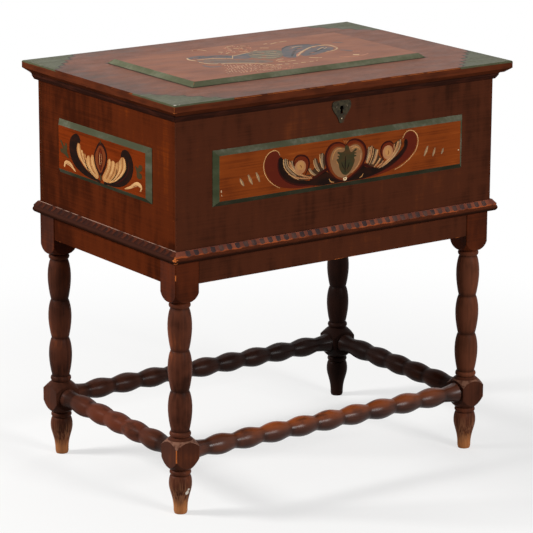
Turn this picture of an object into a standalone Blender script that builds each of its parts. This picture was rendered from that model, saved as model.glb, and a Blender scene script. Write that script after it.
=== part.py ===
"""Painted sewing box with a hinged lid on a turned stand, built piece by piece.

Lengths are in metres and +Z is up. The front faces -Y, the floor is z = 0, and the
origin lies on the floor under the middle of the lid.
"""
import math

import bmesh
import bpy
from mathutils import Matrix, Vector

# Fits between pieces
SEAT_GAP = 0.0003
MOVING_GAP = 0.0010

# Box
BOX_WIDTH = 0.564
BOX_DEPTH = 0.370
BOX_HEIGHT = 0.2127
WALL = 0.015
CORNER_LAP = 0.007
BOTTOM_THICKNESS = 0.009
BOTTOM_RISE = 0.010
BOTTOM_GROOVE = 0.006
FRONT_CENTRE = 0.0015

# Raised panels on the box and the lid
PANEL_HEIGHT = 0.0805
PANEL_CLEARANCE = 0.0112
FRONT_PANEL_WIDTH = 0.446
SIDE_PANEL_WIDTH = 0.250
LID_PANEL_WIDTH = 0.416
LID_PANEL_DEPTH = 0.226
PANEL_THICKNESS = 0.0065
PANEL_EDGE = 0.0015
PANEL_CHAMFER = 0.009

# Moulding round the foot of the box
BASE_MOULD_HEIGHT = 0.0177
BASE_MOULD_DEPTH = 0.0088
BASE_MOULD_SLOPE = 0.0070
BASE_MOULD_NOSE = 0.0020

# Lid
LID_THICKNESS = 0.0173
LID_OVERHANG_SIDE = 0.018
LID_OVERHANG_FRONT = 0.0238
LID_OVERHANG_BACK = 0.0164
LID_EDGE = 0.0106
LID_EDGE_ROUND = 0.0012
LID_BEVEL = 0.0085
LID_MOULD_HEIGHT = 0.0110
LID_MOULD_DEPTH = 0.0085
LID_MOULD_LIP = 0.0054
LID_MOULD_COVE = 0.0050

# Stand
STAND_INSET = 0.0004
STAND_SETBACK = 0.0028
LEG_SQUARE = 0.040
FOOT_HEIGHT = 0.0585
FOOT_BULB_HEIGHT = 0.045
FOOT_TIP_RADIUS = 0.010
FOOT_BULB_RADIUS = 0.0168
FOOT_FLARE = 1.5
COLLAR_HEIGHT = 0.0080
COLLAR_RADIUS = 0.0157
COLLAR_NECK = 0.0137
LOWER_BLOCK_HEIGHT = 0.0490
LOWER_SHOULDER = 0.0115
BOBBIN_LENGTH = 0.060
BOBBIN_COUNT = 3
BOBBIN_RADIUS = 0.0174
BOBBIN_WAIST = 0.0133
BOBBIN_FULLNESS = 0.8
TOP_BLOCK_HEIGHT = 0.0655
TOP_SHOULDER = 0.024
RAIL_HEIGHT = 0.0352
RAIL_THICKNESS = 0.018
RAIL_INSET = 0.0005
RAIL_TENON_THICKNESS = 0.008
RAIL_TENON_LENGTH = 0.012
RAIL_TENON_SHOULDER = 0.005

# Turned stretchers between the legs
STRETCHER_END = 0.0185
STRETCHER_END_RADIUS = 0.012
STRETCHER_WAIST = 0.0105
STRETCHER_RADIUS = 0.0150
STRETCHER_TENON_RADIUS = 0.007
STRETCHER_TENON_LENGTH = 0.012
FRONT_STRETCHER_BOBBINS = 9
SIDE_STRETCHER_BOBBINS = 5

# Hinges
HINGE_INSET = 0.102
HINGE_WIDTH = 0.050
HINGE_LEAF = 0.0016
HINGE_LEAF_DEPTH = 0.012
HINGE_LEAF_GAP = 0.0004
HINGE_KNUCKLES = 5
HINGE_BARREL_RADIUS = 0.0032
HINGE_PIN_RADIUS = 0.0015
HINGE_PIN_PLAY = 0.00025
HINGE_SCREW_COUNT = 2
HINGE_SCREW_PITCH = 0.026

# Screws and nails
SCREW_HEAD_RADIUS = 0.0026
SCREW_SHANK_RADIUS = 0.0013
SCREW_HEAD_HEIGHT = 0.0015
SCREW_LENGTH = 0.010
NAIL_HEAD_RADIUS = 0.0017
NAIL_HEAD_HEIGHT = 0.0009
NAIL_SHANK_RADIUS = 0.0008
NAIL_LENGTH = 0.004

# Lock
LOCK_WIDTH = 0.046
LOCK_HEIGHT = 0.038
LOCK_DEPTH = 0.0095
LOCK_BACK = 0.0014
LOCK_SCREW_SPREAD = 0.034
LOCK_SCREW_RISE = 0.006
LOCK_SCREW_LENGTH = 0.0125
KEY_ROOM_WIDTH = 0.022
KEY_ROOM_RISE = 0.004
BOLT_LENGTH = 0.015
BOLT_HEIGHT = 0.0048
BOLT_THICKNESS = 0.0034
BOLT_DROP = 0.010
BOLT_TRAVEL = 0.010
BOLT_REST_GAP = 0.002
STAPLE_WIDTH = 0.034
STAPLE_DEPTH = 0.011
STAPLE_PLATE = 0.0016
STAPLE_TONGUE = 0.0025
STAPLE_TONGUE_WIDTH = 0.0064
STAPLE_RIM = 0.0020
STAPLE_SPIKE_SPREAD = 0.022
STAPLE_SPIKE_RADIUS = 0.0016
STAPLE_SPIKE_LENGTH = 0.009

# Key plate and keyhole
KEY_PLATE_WIDTH = 0.034
KEY_PLATE_HEIGHT = 0.0355
KEY_PLATE_THICKNESS = 0.0012
# Right half of the shield from its foot up, as shares of the half width and the height
KEY_PLATE_OUTLINE = ((0.10, 0.0), (0.28, 0.10), (0.44, 0.27), (0.70, 0.47),
                     (0.95, 0.68), (1.0, 0.80), (0.93, 0.93), (0.72, 1.0))
KEYHOLE_RADIUS = 0.0031
KEYHOLE_SLOT_WIDTH = 0.0036
KEYHOLE_HEIGHT = 0.0117
KEYHOLE_DROP = 0.0200
NAIL_SPREAD = 0.019
NAIL_RISE = 0.0265
NAIL_FOOT_RISE = 0.0085

# Sliding till inside the box
TILL_WIDTH = 0.170
TILL_HEIGHT = 0.045
TILL_DROP = 0.006
TILL_WALL = 0.006
TILL_FLOOR = 0.005
TILL_PARTITIONS = 1
RUNNER_WIDTH = 0.010
RUNNER_HEIGHT = 0.012

# Facets of round pieces
LEG_SIDES = 16
STRETCHER_SIDES = 10
SMALL_SIDES = 12
BOBBIN_STEPS = 5
STRETCHER_STEPS = 4
FOOT_STEPS = 5
SHOULDER_STEPS = 3
COLLAR_STEPS = 2
NAIL_DOME_STEPS = 3
SHARP_ANGLE = math.radians(35)

# Heights that follow from the stack of pieces
LEG_HEIGHT = (FOOT_HEIGHT + 3 * COLLAR_HEIGHT + LOWER_BLOCK_HEIGHT
              + BOBBIN_COUNT * BOBBIN_LENGTH + TOP_BLOCK_HEIGHT)
STRETCHER_Z = FOOT_HEIGHT + COLLAR_HEIGHT + LOWER_BLOCK_HEIGHT / 2
BOX_FLOOR = LEG_HEIGHT + SEAT_GAP
BOX_TOP = BOX_FLOOR + BOX_HEIGHT
LID_UNDER = BOX_TOP + SEAT_GAP
LID_TOP = LID_UNDER + LID_THICKNESS

# Faces of the box and the lid in plan
LID_HALF_WIDTH = BOX_WIDTH / 2 + LID_OVERHANG_SIDE
LID_HALF_DEPTH = (BOX_DEPTH + LID_OVERHANG_FRONT + LID_OVERHANG_BACK) / 2
BOX_Y = (LID_OVERHANG_FRONT - LID_OVERHANG_BACK) / 2
BOX_FRONT = BOX_Y - BOX_DEPTH / 2
BOX_BACK = BOX_Y + BOX_DEPTH / 2
INNER_HALF_WIDTH = BOX_WIDTH / 2 - WALL
INNER_FRONT = BOX_FRONT + WALL
INNER_BACK = BOX_BACK - WALL

# Places of the legs
STAND_Y = BOX_Y + STAND_SETBACK
LEG_X = BOX_WIDTH / 2 - STAND_INSET - LEG_SQUARE / 2
LEG_SPREAD_Y = BOX_DEPTH / 2 - STAND_INSET - LEG_SQUARE / 2

# Hinge axis, level with the line where the closed leaves meet
HINGE_STANDOFF = HINGE_BARREL_RADIUS + MOVING_GAP
HINGE_Y = BOX_BACK + HINGE_STANDOFF
HINGE_Z = LID_UNDER - SEAT_GAP - HINGE_LEAF - HINGE_LEAF_GAP / 2

# Lock levels, below the top edge of the front board
LOCK_FRONT = INNER_FRONT - LOCK_DEPTH
LOCK_BOTTOM = BOX_TOP - LOCK_HEIGHT
BOLT_Y = INNER_FRONT - LOCK_BACK - (LOCK_DEPTH - LOCK_BACK) / 2
BOLT_Z = BOX_TOP - BOLT_DROP
BOLT_ROOM = BOLT_HEIGHT / 2 + SEAT_GAP
STAPLE_FOOT = BOLT_Z - BOLT_ROOM - SEAT_GAP - STAPLE_RIM
KEY_PLATE_TOP = LID_UNDER - SEAT_GAP - LID_MOULD_HEIGHT - MOVING_GAP
KEY_PLATE_FOOT = KEY_PLATE_TOP - KEY_PLATE_HEIGHT
KEYHOLE_TOP = BOX_TOP - KEYHOLE_DROP

# Middle of the panels round the box, whose top edge lies below the key plate's foot
PANEL_Z = KEY_PLATE_FOOT - PANEL_CLEARANCE - PANEL_HEIGHT / 2

# Till levels
TILL_TOP = BOX_TOP - TILL_DROP
TILL_FOOT = TILL_TOP - TILL_HEIGHT
TILL_LEFT = -INNER_HALF_WIDTH + MOVING_GAP
TILL_FRONT = INNER_FRONT + MOVING_GAP
TILL_BACK = INNER_BACK - MOVING_GAP
RUNNER_TOP = TILL_FOOT - SEAT_GAP


def finish(name, colour, roughness, metallic=0.0):
    """A plain finish: linear colour, roughness and metal share."""
    material = bpy.data.materials.new(name)
    material.use_nodes = True
    shader = material.node_tree.nodes["Principled BSDF"]
    shader.inputs["Base Color"].default_value = (*colour, 1.0)
    shader.inputs["Roughness"].default_value = roughness
    shader.inputs["Metallic"].default_value = metallic
    return material


def solid(name, mesh):
    """Turn a mesh under construction into an object with its faces pointing out."""
    bmesh.ops.recalc_face_normals(mesh, faces=mesh.faces)
    data = bpy.data.meshes.new(name)
    mesh.to_mesh(data)
    mesh.free()
    piece = bpy.data.objects.new(name, data)
    bpy.context.collection.objects.link(piece)
    return piece


def loft(name, loops, place=Matrix()):
    """Skin a stack of equal point loops and cap both ends."""
    mesh = bmesh.new()
    rings = []
    for loop in loops:
        rings.append([mesh.verts.new(place @ Vector(point)) for point in loop])
    for lower, upper in zip(rings, rings[1:]):
        for index in range(len(lower)):
            mesh.faces.new((lower[index - 1], lower[index], upper[index], upper[index - 1]))
    mesh.faces.new(rings[0])
    mesh.faces.new(rings[-1])
    return solid(name, mesh)


def rectangle(half_width, half_depth, z):
    """The four corners of a level rectangle about the Z axis."""
    return [(-half_width, -half_depth, z), (half_width, -half_depth, z),
            (half_width, half_depth, z), (-half_width, half_depth, z)]


def block(name, low, high):
    """A box between two opposite corners."""
    middle = (Vector(low) + Vector(high)) / 2
    half = (Vector(high) - Vector(low)) / 2
    loops = [rectangle(half.x, half.y, -half.z), rectangle(half.x, half.y, half.z)]
    return loft(name, loops, Matrix.Translation(middle))


def prism(name, outline, low, high, place=Matrix()):
    """A level outline of (x, y) points raised from one height to another."""
    loops = [[(x, y, z) for x, y in outline] for z in (low, high)]
    return loft(name, loops, place)


def turned(name, profile, sides, place=Matrix(), square=None):
    """A solid turned about Z from (height, radius) points, out of a square bar if one is given."""
    loops = []
    for height, radius in profile:
        loop = []
        for side in range(sides):
            angle = 2 * math.pi * side / sides
            across = math.cos(angle)
            along = math.sin(angle)
            reach = radius
            if square:
                reach = min(radius, square / 2 / max(abs(across), abs(along)))
            loop.append((reach * across, reach * along, height))
        loops.append(loop)
    return loft(name, loops, place)


def combine(piece, tools, operation):
    """Cut tools out of a piece, or join them to it, and remove the tools."""
    for tool in tools:
        modifier = piece.modifiers.new(operation.lower(), "BOOLEAN")
        modifier.operation = operation
        modifier.object = tool
    graph = bpy.context.evaluated_depsgraph_get()
    shaped = bpy.data.meshes.new_from_object(piece.evaluated_get(graph))
    piece.modifiers.clear()
    piece.data = shaped
    for tool in tools:
        bpy.data.objects.remove(tool)
    return piece


def dress(pieces, material, smooth=False):
    """Give pieces their finish, and round shading where they are turned."""
    for piece in pieces:
        piece.data.materials.clear()
        piece.data.materials.append(material)
        if smooth:
            piece.data.shade_smooth()
            piece.data.set_sharp_from_angle(angle=SHARP_ANGLE)
    return pieces


def carry(name, point, pieces):
    """Hang moving pieces on an empty that sits on their joint axis."""
    axis = bpy.data.objects.new(name, None)
    axis.location = point
    bpy.context.collection.objects.link(axis)
    bpy.context.view_layer.update()
    for piece in pieces:
        piece.parent = axis
        piece.matrix_parent_inverse = axis.matrix_world.inverted()


def swell(start, end, low, high, steps, fullness=1.0):
    """Profile points of a bead or bobbin, thin at both ends, without its last point."""
    points = []
    for step in range(steps):
        share = step / steps
        radius = low + (high - low) * math.sin(math.pi * share) ** fullness
        points.append((start + (end - start) * share, radius))
    return points


def shoulder(start, end, low, high, steps):
    """Profile points of a rounded rise from a neck to a square block, without its last point."""
    points = []
    for step in range(steps):
        share = step / steps
        radius = low + (high - low) * math.sin(math.pi / 2 * share)
        points.append((start + (end - start) * share, radius))
    return points


def leg_profile():
    """Heights and radii of a leg, from the floor to its top."""
    corner = LEG_SQUARE * math.sqrt(0.5)
    points = []
    for step in range(FOOT_STEPS):
        share = step / FOOT_STEPS
        flare = math.sin(math.pi / 2 * share ** FOOT_FLARE) ** 2
        radius = FOOT_TIP_RADIUS + (FOOT_BULB_RADIUS - FOOT_TIP_RADIUS) * flare
        points.append((FOOT_BULB_HEIGHT * share, radius))
    closing = shoulder(FOOT_HEIGHT, FOOT_BULB_HEIGHT, COLLAR_NECK, FOOT_BULB_RADIUS, SHOULDER_STEPS)
    points.append((FOOT_BULB_HEIGHT, FOOT_BULB_RADIUS))
    points += reversed(closing[1:])

    def collar(z):
        return swell(z, z + COLLAR_HEIGHT, COLLAR_NECK, COLLAR_RADIUS, COLLAR_STEPS)

    level = FOOT_HEIGHT
    points += collar(level)
    level += COLLAR_HEIGHT
    upper = level + LOWER_BLOCK_HEIGHT
    points += shoulder(level, level + LOWER_SHOULDER, COLLAR_NECK, corner, SHOULDER_STEPS)
    points.append((level + LOWER_SHOULDER, corner))
    falling = shoulder(upper, upper - LOWER_SHOULDER, COLLAR_NECK, corner, SHOULDER_STEPS)
    points.append((upper - LOWER_SHOULDER, corner))
    points += reversed(falling[1:])
    level = upper
    points += collar(level)
    level += COLLAR_HEIGHT
    for _ in range(BOBBIN_COUNT):
        points += swell(level, level + BOBBIN_LENGTH, BOBBIN_WAIST, BOBBIN_RADIUS,
                        BOBBIN_STEPS, BOBBIN_FULLNESS)
        level += BOBBIN_LENGTH
    points += collar(level)
    level += COLLAR_HEIGHT
    points += shoulder(level, level + TOP_SHOULDER, COLLAR_NECK, corner, SHOULDER_STEPS + 1)
    points.append((level + TOP_SHOULDER, corner))
    points.append((LEG_HEIGHT, corner))
    return points


def stretcher_profile(span, bobbins):
    """Lengths and radii of a stretcher, tenon to tenon, about its middle."""
    end = span / 2 - SEAT_GAP
    tenon = end + STRETCHER_TENON_LENGTH
    inner = span / 2 - STRETCHER_END
    pitch = 2 * inner / bobbins
    points = [(-tenon, STRETCHER_TENON_RADIUS), (-end, STRETCHER_TENON_RADIUS),
              (-end, STRETCHER_END_RADIUS)]
    for bobbin in range(bobbins):
        start = -inner + bobbin * pitch
        points += swell(start, start + pitch, STRETCHER_WAIST, STRETCHER_RADIUS,
                        STRETCHER_STEPS, BOBBIN_FULLNESS)
    points.append((inner, STRETCHER_WAIST))
    points += [(end, STRETCHER_END_RADIUS), (end, STRETCHER_TENON_RADIUS),
               (tenon, STRETCHER_TENON_RADIUS)]
    return points


def lying(direction):
    """Turn that lays a piece built along Z along X or Y."""
    if direction == "X":
        return Matrix.Rotation(math.pi / 2, 4, "Y")
    return Matrix.Rotation(-math.pi / 2, 4, "X")


def rail_part(name, low_x, high_x, grow, sign):
    """One length of an apron, built along X at the front, or its tenon with some growth."""
    tenon_depth = (RAIL_THICKNESS - RAIL_TENON_THICKNESS) / 2
    outer = -LEG_SQUARE / 2 + RAIL_INSET
    top = LEG_HEIGHT - RAIL_TENON_SHOULDER
    bottom = LEG_HEIGHT - RAIL_HEIGHT + RAIL_TENON_SHOULDER
    low = (low_x - grow, outer + tenon_depth - grow, bottom - grow)
    high = (high_x + grow, outer + tenon_depth + RAIL_TENON_THICKNESS + grow, top + grow)
    piece = block(name, low, high)
    piece.data.transform(Matrix.Scale(sign, 4, (0, 1, 0)))
    if sign < 0:
        piece.data.flip_normals()
    return piece


def rail_run(name, half_span, sign):
    """An apron with its two tenons, lying along X with its outer face towards -Y times sign."""
    end = half_span - SEAT_GAP
    tenon = end + RAIL_TENON_LENGTH
    outer = -LEG_SQUARE / 2 + RAIL_INSET
    faces = sorted((sign * outer, sign * (outer + RAIL_THICKNESS)))
    rail = block(name, (-end, faces[0], LEG_HEIGHT - RAIL_HEIGHT), (end, faces[1], LEG_HEIGHT))
    return combine(rail, [rail_part("tenon", -tenon, tenon, 0.0, sign)], "UNION")


def moved(piece, place):
    """Shift and turn a piece by changing its mesh."""
    piece.data.transform(place)
    return piece


def make_stand():
    """Four legs with their mortises, four aprons and four stretchers."""
    half_x = LEG_X - LEG_SQUARE / 2
    half_y = LEG_SPREAD_Y - LEG_SQUARE / 2
    quarter = Matrix.Rotation(math.pi / 2, 4, "Z")
    sides = {"front": -1, "back": 1, "left": -1, "right": 1}
    rails = []
    stretchers = []
    for side in ("front", "back"):
        sign = -sides[side]
        place = Matrix.Translation((0, STAND_Y + sides[side] * LEG_SPREAD_Y, 0))
        rails.append(moved(rail_run("rail_" + side, half_x, sign), place))
        profile = stretcher_profile(2 * half_x, FRONT_STRETCHER_BOBBINS)
        lift = Matrix.Translation((0, 0, STRETCHER_Z))
        stretchers.append(turned("stretcher_" + side, profile, STRETCHER_SIDES,
                                 place @ lift @ lying("X")))
    for side in ("left", "right"):
        sign = sides[side]
        place = Matrix.Translation((sides[side] * LEG_X, STAND_Y, 0))
        rails.append(moved(rail_run("rail_" + side, half_y, sign), place @ quarter))
        profile = stretcher_profile(2 * half_y, SIDE_STRETCHER_BOBBINS)
        lift = Matrix.Translation((0, 0, STRETCHER_Z))
        stretchers.append(turned("stretcher_" + side, profile, STRETCHER_SIDES,
                                 place @ lift @ lying("Y")))
    legs = []
    for row in ("front", "back"):
        for side in ("left", "right"):
            centre = Matrix.Translation((sides[side] * LEG_X, STAND_Y + sides[row] * LEG_SPREAD_Y, 0))
            leg = turned("leg_%s_%s" % (row, side), leg_profile(), LEG_SIDES, centre, LEG_SQUARE)
            legs.append(combine(leg, leg_mortises(centre, sides[side], sides[row]), "DIFFERENCE"))
    return legs, rails, stretchers


def leg_mortises(centre, side, row):
    """Cutters for the two apron mortises and two stretcher sockets of one leg."""
    quarter = Matrix.Rotation(math.pi / 2, 4, "Z")
    inner = LEG_SQUARE / 2
    cutters = []
    reach = sorted((-side * (inner - RAIL_TENON_LENGTH), -side * (inner + SEAT_GAP)))
    cutters.append(moved(rail_part("mortise", reach[0], reach[1], SEAT_GAP, -row), centre))
    reach = sorted((-row * (inner - RAIL_TENON_LENGTH), -row * (inner + SEAT_GAP)))
    cutters.append(moved(rail_part("mortise", reach[0], reach[1], SEAT_GAP, side), centre @ quarter))
    depth = inner - STRETCHER_TENON_LENGTH - SEAT_GAP
    lift = Matrix.Translation((0, 0, STRETCHER_Z))
    radius = STRETCHER_TENON_RADIUS + SEAT_GAP
    for direction, sign in (("X", -side), ("Y", -row)):
        ends = sorted((sign * depth, sign * (inner + SEAT_GAP)))
        profile = [(ends[0], radius), (ends[1], radius)]
        cutters.append(turned("socket", profile, STRETCHER_SIDES, centre @ lift @ lying(direction)))
    return cutters


def screw(name, point, direction, length, grow=0.0):
    """A countersunk screw whose head's face lies at a point, or with growth the hole it needs."""
    profile = [(0.0, SCREW_HEAD_RADIUS + grow)]
    if grow:
        profile.insert(0, (-grow, SCREW_HEAD_RADIUS + grow))
    profile += [(SCREW_HEAD_HEIGHT, SCREW_SHANK_RADIUS + grow), (length + grow, SCREW_SHANK_RADIUS + grow)]
    turn = Vector((0, 0, 1)).rotation_difference(Vector(direction)).to_matrix().to_4x4()
    return turned(name, profile, SMALL_SIDES, Matrix.Translation(point) @ turn)


def nail_points():
    """Where the key plate's nails stand, as (name, x, z)."""
    z = KEY_PLATE_FOOT + NAIL_RISE
    return [("left", FRONT_CENTRE - NAIL_SPREAD / 2, z), ("right", FRONT_CENTRE + NAIL_SPREAD / 2, z),
            ("foot", FRONT_CENTRE, KEY_PLATE_FOOT + NAIL_FOOT_RISE)]


def lock_screw_points():
    """Where the lock's screws stand on the inner face of the front board, by side."""
    z = LOCK_BOTTOM + LOCK_SCREW_RISE
    return {"left": (FRONT_CENTRE - LOCK_SCREW_SPREAD / 2, INNER_FRONT, z),
            "right": (FRONT_CENTRE + LOCK_SCREW_SPREAD / 2, INNER_FRONT, z)}


def keyhole_cutter(low_y, high_y):
    """A keyhole running through in Y: a round eye over a narrower slot."""
    through = Matrix.Translation((FRONT_CENTRE, 0, 0)) @ lying("Y")
    eye_z = KEYHOLE_TOP - KEYHOLE_RADIUS
    lift = Matrix.Translation((0, 0, eye_z))
    eye = turned("keyhole", [(low_y, KEYHOLE_RADIUS), (high_y, KEYHOLE_RADIUS)], SMALL_SIDES, lift @ through)
    half = KEYHOLE_SLOT_WIDTH / 2
    slot = block("slot", (FRONT_CENTRE - half, low_y, KEYHOLE_TOP - KEYHOLE_HEIGHT),
                 (FRONT_CENTRE + half, high_y, eye_z))
    return combine(eye, [slot], "UNION")


def board_outline(face, inward):
    """Plan outline of the front or back board, lapped over the ends of the sides."""
    half = BOX_WIDTH / 2
    inner = INNER_HALF_WIDTH - SEAT_GAP
    lap = face + inward * CORNER_LAP
    inside = face + inward * WALL
    return [(-half, face), (half, face), (half, lap), (inner, lap),
            (inner, inside), (-inner, inside), (-inner, lap), (-half, lap)]


def bottom_block(name, grow):
    """The bottom board standing in its groove, or with growth the groove's cutter."""
    reach = BOTTOM_GROOVE - SEAT_GAP + grow
    low = BOX_FLOOR + BOTTOM_RISE
    return block(name, (-INNER_HALF_WIDTH - reach, INNER_FRONT - reach, low - grow),
                 (INNER_HALF_WIDTH + reach, INNER_BACK + reach, low + BOTTOM_THICKNESS + grow))


def make_box():
    """Four lapped boards and a bottom held in a groove."""
    front = prism("box_front", board_outline(BOX_FRONT, 1), BOX_FLOOR, BOX_TOP)
    back = prism("box_back", board_outline(BOX_BACK, -1), BOX_FLOOR, BOX_TOP)
    ends = (BOX_FRONT + CORNER_LAP + SEAT_GAP, BOX_BACK - CORNER_LAP - SEAT_GAP)
    left = block("box_left", (-BOX_WIDTH / 2, ends[0], BOX_FLOOR), (-INNER_HALF_WIDTH, ends[1], BOX_TOP))
    right = block("box_right", (INNER_HALF_WIDTH, ends[0], BOX_FLOOR), (BOX_WIDTH / 2, ends[1], BOX_TOP))
    for board in (front, back, left, right):
        combine(board, [bottom_block("groove", SEAT_GAP)], "DIFFERENCE")
    return front, back, left, right, bottom_block("box_bottom", 0.0)


def panel(name, width, height, place):
    """A raised panel with bevelled edges, lying on the XY plane of its place."""
    level = PANEL_THICKNESS + SEAT_GAP
    loops = [rectangle(width / 2, height / 2, SEAT_GAP),
             rectangle(width / 2, height / 2, SEAT_GAP + PANEL_EDGE),
             rectangle(width / 2 - PANEL_CHAMFER, height / 2 - PANEL_CHAMFER, level)]
    return loft(name, loops, place)


def make_panels():
    """The raised painted panels of the front, the two sides and the lid."""
    upright = Matrix.Rotation(math.pi / 2, 4, "X")
    front = Matrix.Translation((FRONT_CENTRE, BOX_FRONT, PANEL_Z)) @ upright
    panels = [panel("front_panel", FRONT_PANEL_WIDTH, PANEL_HEIGHT, front)]
    for name, side in (("left_panel", -1), ("right_panel", 1)):
        turn = Matrix.Rotation(side * math.pi / 2, 4, "Z")
        place = Matrix.Translation((side * BOX_WIDTH / 2, BOX_Y, PANEL_Z)) @ turn @ upright
        panels.append(panel(name, SIDE_PANEL_WIDTH, PANEL_HEIGHT, place))
    lid = panel("lid_panel", LID_PANEL_WIDTH, LID_PANEL_DEPTH, Matrix.Translation((0, 0, LID_TOP)))
    return panels, lid


def moulding(name, profile, half_length, mitres, place):
    """A strip of (out, z) profile along X facing -Y, mitred where its neighbour turns the corner."""
    loops = []
    for sign, mitre in zip((-1, 1), mitres):
        loops.append([(sign * (half_length + mitre * out - SEAT_GAP), -out, z) for out, z in profile])
    return loft(name, loops, place)


def base_profile():
    """Section of the base moulding: a slope, a rounded nose and a flat underside."""
    top = BOX_FLOOR + BASE_MOULD_HEIGHT
    nose = top - BASE_MOULD_SLOPE
    return [(SEAT_GAP, top), (BASE_MOULD_DEPTH - BASE_MOULD_NOSE / 2, nose),
            (BASE_MOULD_DEPTH, nose - BASE_MOULD_NOSE),
            (BASE_MOULD_DEPTH, BOX_FLOOR + BASE_MOULD_NOSE * 2),
            (BASE_MOULD_DEPTH - BASE_MOULD_NOSE, BOX_FLOOR + BASE_MOULD_NOSE / 2),
            (SEAT_GAP, BOX_FLOOR)]


def lid_profile():
    """Section of the strip under the lid: a cove over a tapered foot, clear of the box."""
    top = LID_UNDER - SEAT_GAP
    waist = top - LID_MOULD_COVE
    reach = MOVING_GAP + LID_MOULD_DEPTH
    lip = MOVING_GAP + LID_MOULD_LIP
    return [(MOVING_GAP, top), (reach, top), (lip + (reach - lip) / 4, waist + LID_MOULD_COVE / 3),
            (lip, waist), (MOVING_GAP + LID_MOULD_LIP / 4, top - LID_MOULD_HEIGHT),
            (MOVING_GAP, top - LID_MOULD_HEIGHT)]


def make_mouldings():
    """Mitred strips round the foot of the box, and under the lid on three sides."""
    places = {"front": (0, 0, BOX_FRONT, BOX_WIDTH), "back": (180, 0, BOX_BACK, BOX_WIDTH),
              "left": (-90, -BOX_WIDTH / 2, BOX_Y, BOX_DEPTH),
              "right": (90, BOX_WIDTH / 2, BOX_Y, BOX_DEPTH)}
    base = []
    for side, (turn, x, y, length) in places.items():
        place = Matrix.Translation((x, y, 0)) @ Matrix.Rotation(math.radians(turn), 4, "Z")
        base.append(moulding("base_moulding_" + side, base_profile(), length / 2, (1, 1), place))
    lid = []
    tail = LID_OVERHANG_BACK - LID_BEVEL
    mitres = {"front": (1, 1), "left": (0, 1), "right": (1, 0)}
    for side, ends in mitres.items():
        turn, x, y, length = places[side]
        if side != "front":
            y += tail / 2
            length += tail
        place = Matrix.Translation((x, y, 0)) @ Matrix.Rotation(math.radians(turn), 4, "Z")
        lid.append(moulding("lid_moulding_" + side, lid_profile(), length / 2, ends, place))
    return base, lid


def make_lid_board():
    """The lid's board, with an upright edge and a bevel under it."""
    edge = LID_TOP - LID_EDGE
    insets = [(LID_BEVEL, LID_UNDER), (0.0, edge), (0.0, LID_TOP - LID_EDGE_ROUND), (LID_EDGE_ROUND, LID_TOP)]
    loops = [rectangle(LID_HALF_WIDTH - inset, LID_HALF_DEPTH - inset, z) for inset, z in insets]
    return loft("lid_board", loops)


def hinge_slots(middle, first):
    """X limits of every second knuckle of a hinge, starting with the first or the second."""
    pitch = HINGE_WIDTH / HINGE_KNUCKLES
    start = middle - HINGE_WIDTH / 2
    limits = []
    for knuckle in range(first, HINGE_KNUCKLES, 2):
        limits.append((start + knuckle * pitch + SEAT_GAP / 2, start + (knuckle + 1) * pitch - SEAT_GAP / 2))
    return limits


def hinge_leaf(name, middle, first, low, high):
    """One leaf between two heights, with its share of the knuckles bored for the pin."""
    half = HINGE_WIDTH / 2 - SEAT_GAP / 2
    leaf = block(name, (middle - half, BOX_BACK - HINGE_LEAF_DEPTH, low), (middle + half, BOX_BACK, high))
    parts = []
    axis = Matrix.Translation((0, HINGE_Y, HINGE_Z)) @ lying("X")
    for start, end in hinge_slots(middle, first):
        parts.append(block("neck", (start, BOX_BACK - SEAT_GAP, low), (end, HINGE_Y, high)))
        profile = [(start, HINGE_BARREL_RADIUS), (end, HINGE_BARREL_RADIUS)]
        parts.append(turned("knuckle", profile, SMALL_SIDES, axis))
    combine(leaf, parts, "UNION")
    radius = HINGE_PIN_RADIUS + HINGE_PIN_PLAY
    bore = [(middle - HINGE_WIDTH, radius), (middle + HINGE_WIDTH, radius)]
    return combine(leaf, [turned("bore", bore, SMALL_SIDES, axis)], "DIFFERENCE")


def hinge_screw_points(middle, z):
    """Where a leaf's screws stand."""
    y = BOX_BACK - HINGE_LEAF_DEPTH / 2
    spread = (HINGE_SCREW_COUNT - 1) / 2
    return [(middle + (index - spread) * HINGE_SCREW_PITCH, y, z) for index in range(HINGE_SCREW_COUNT)]


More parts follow.
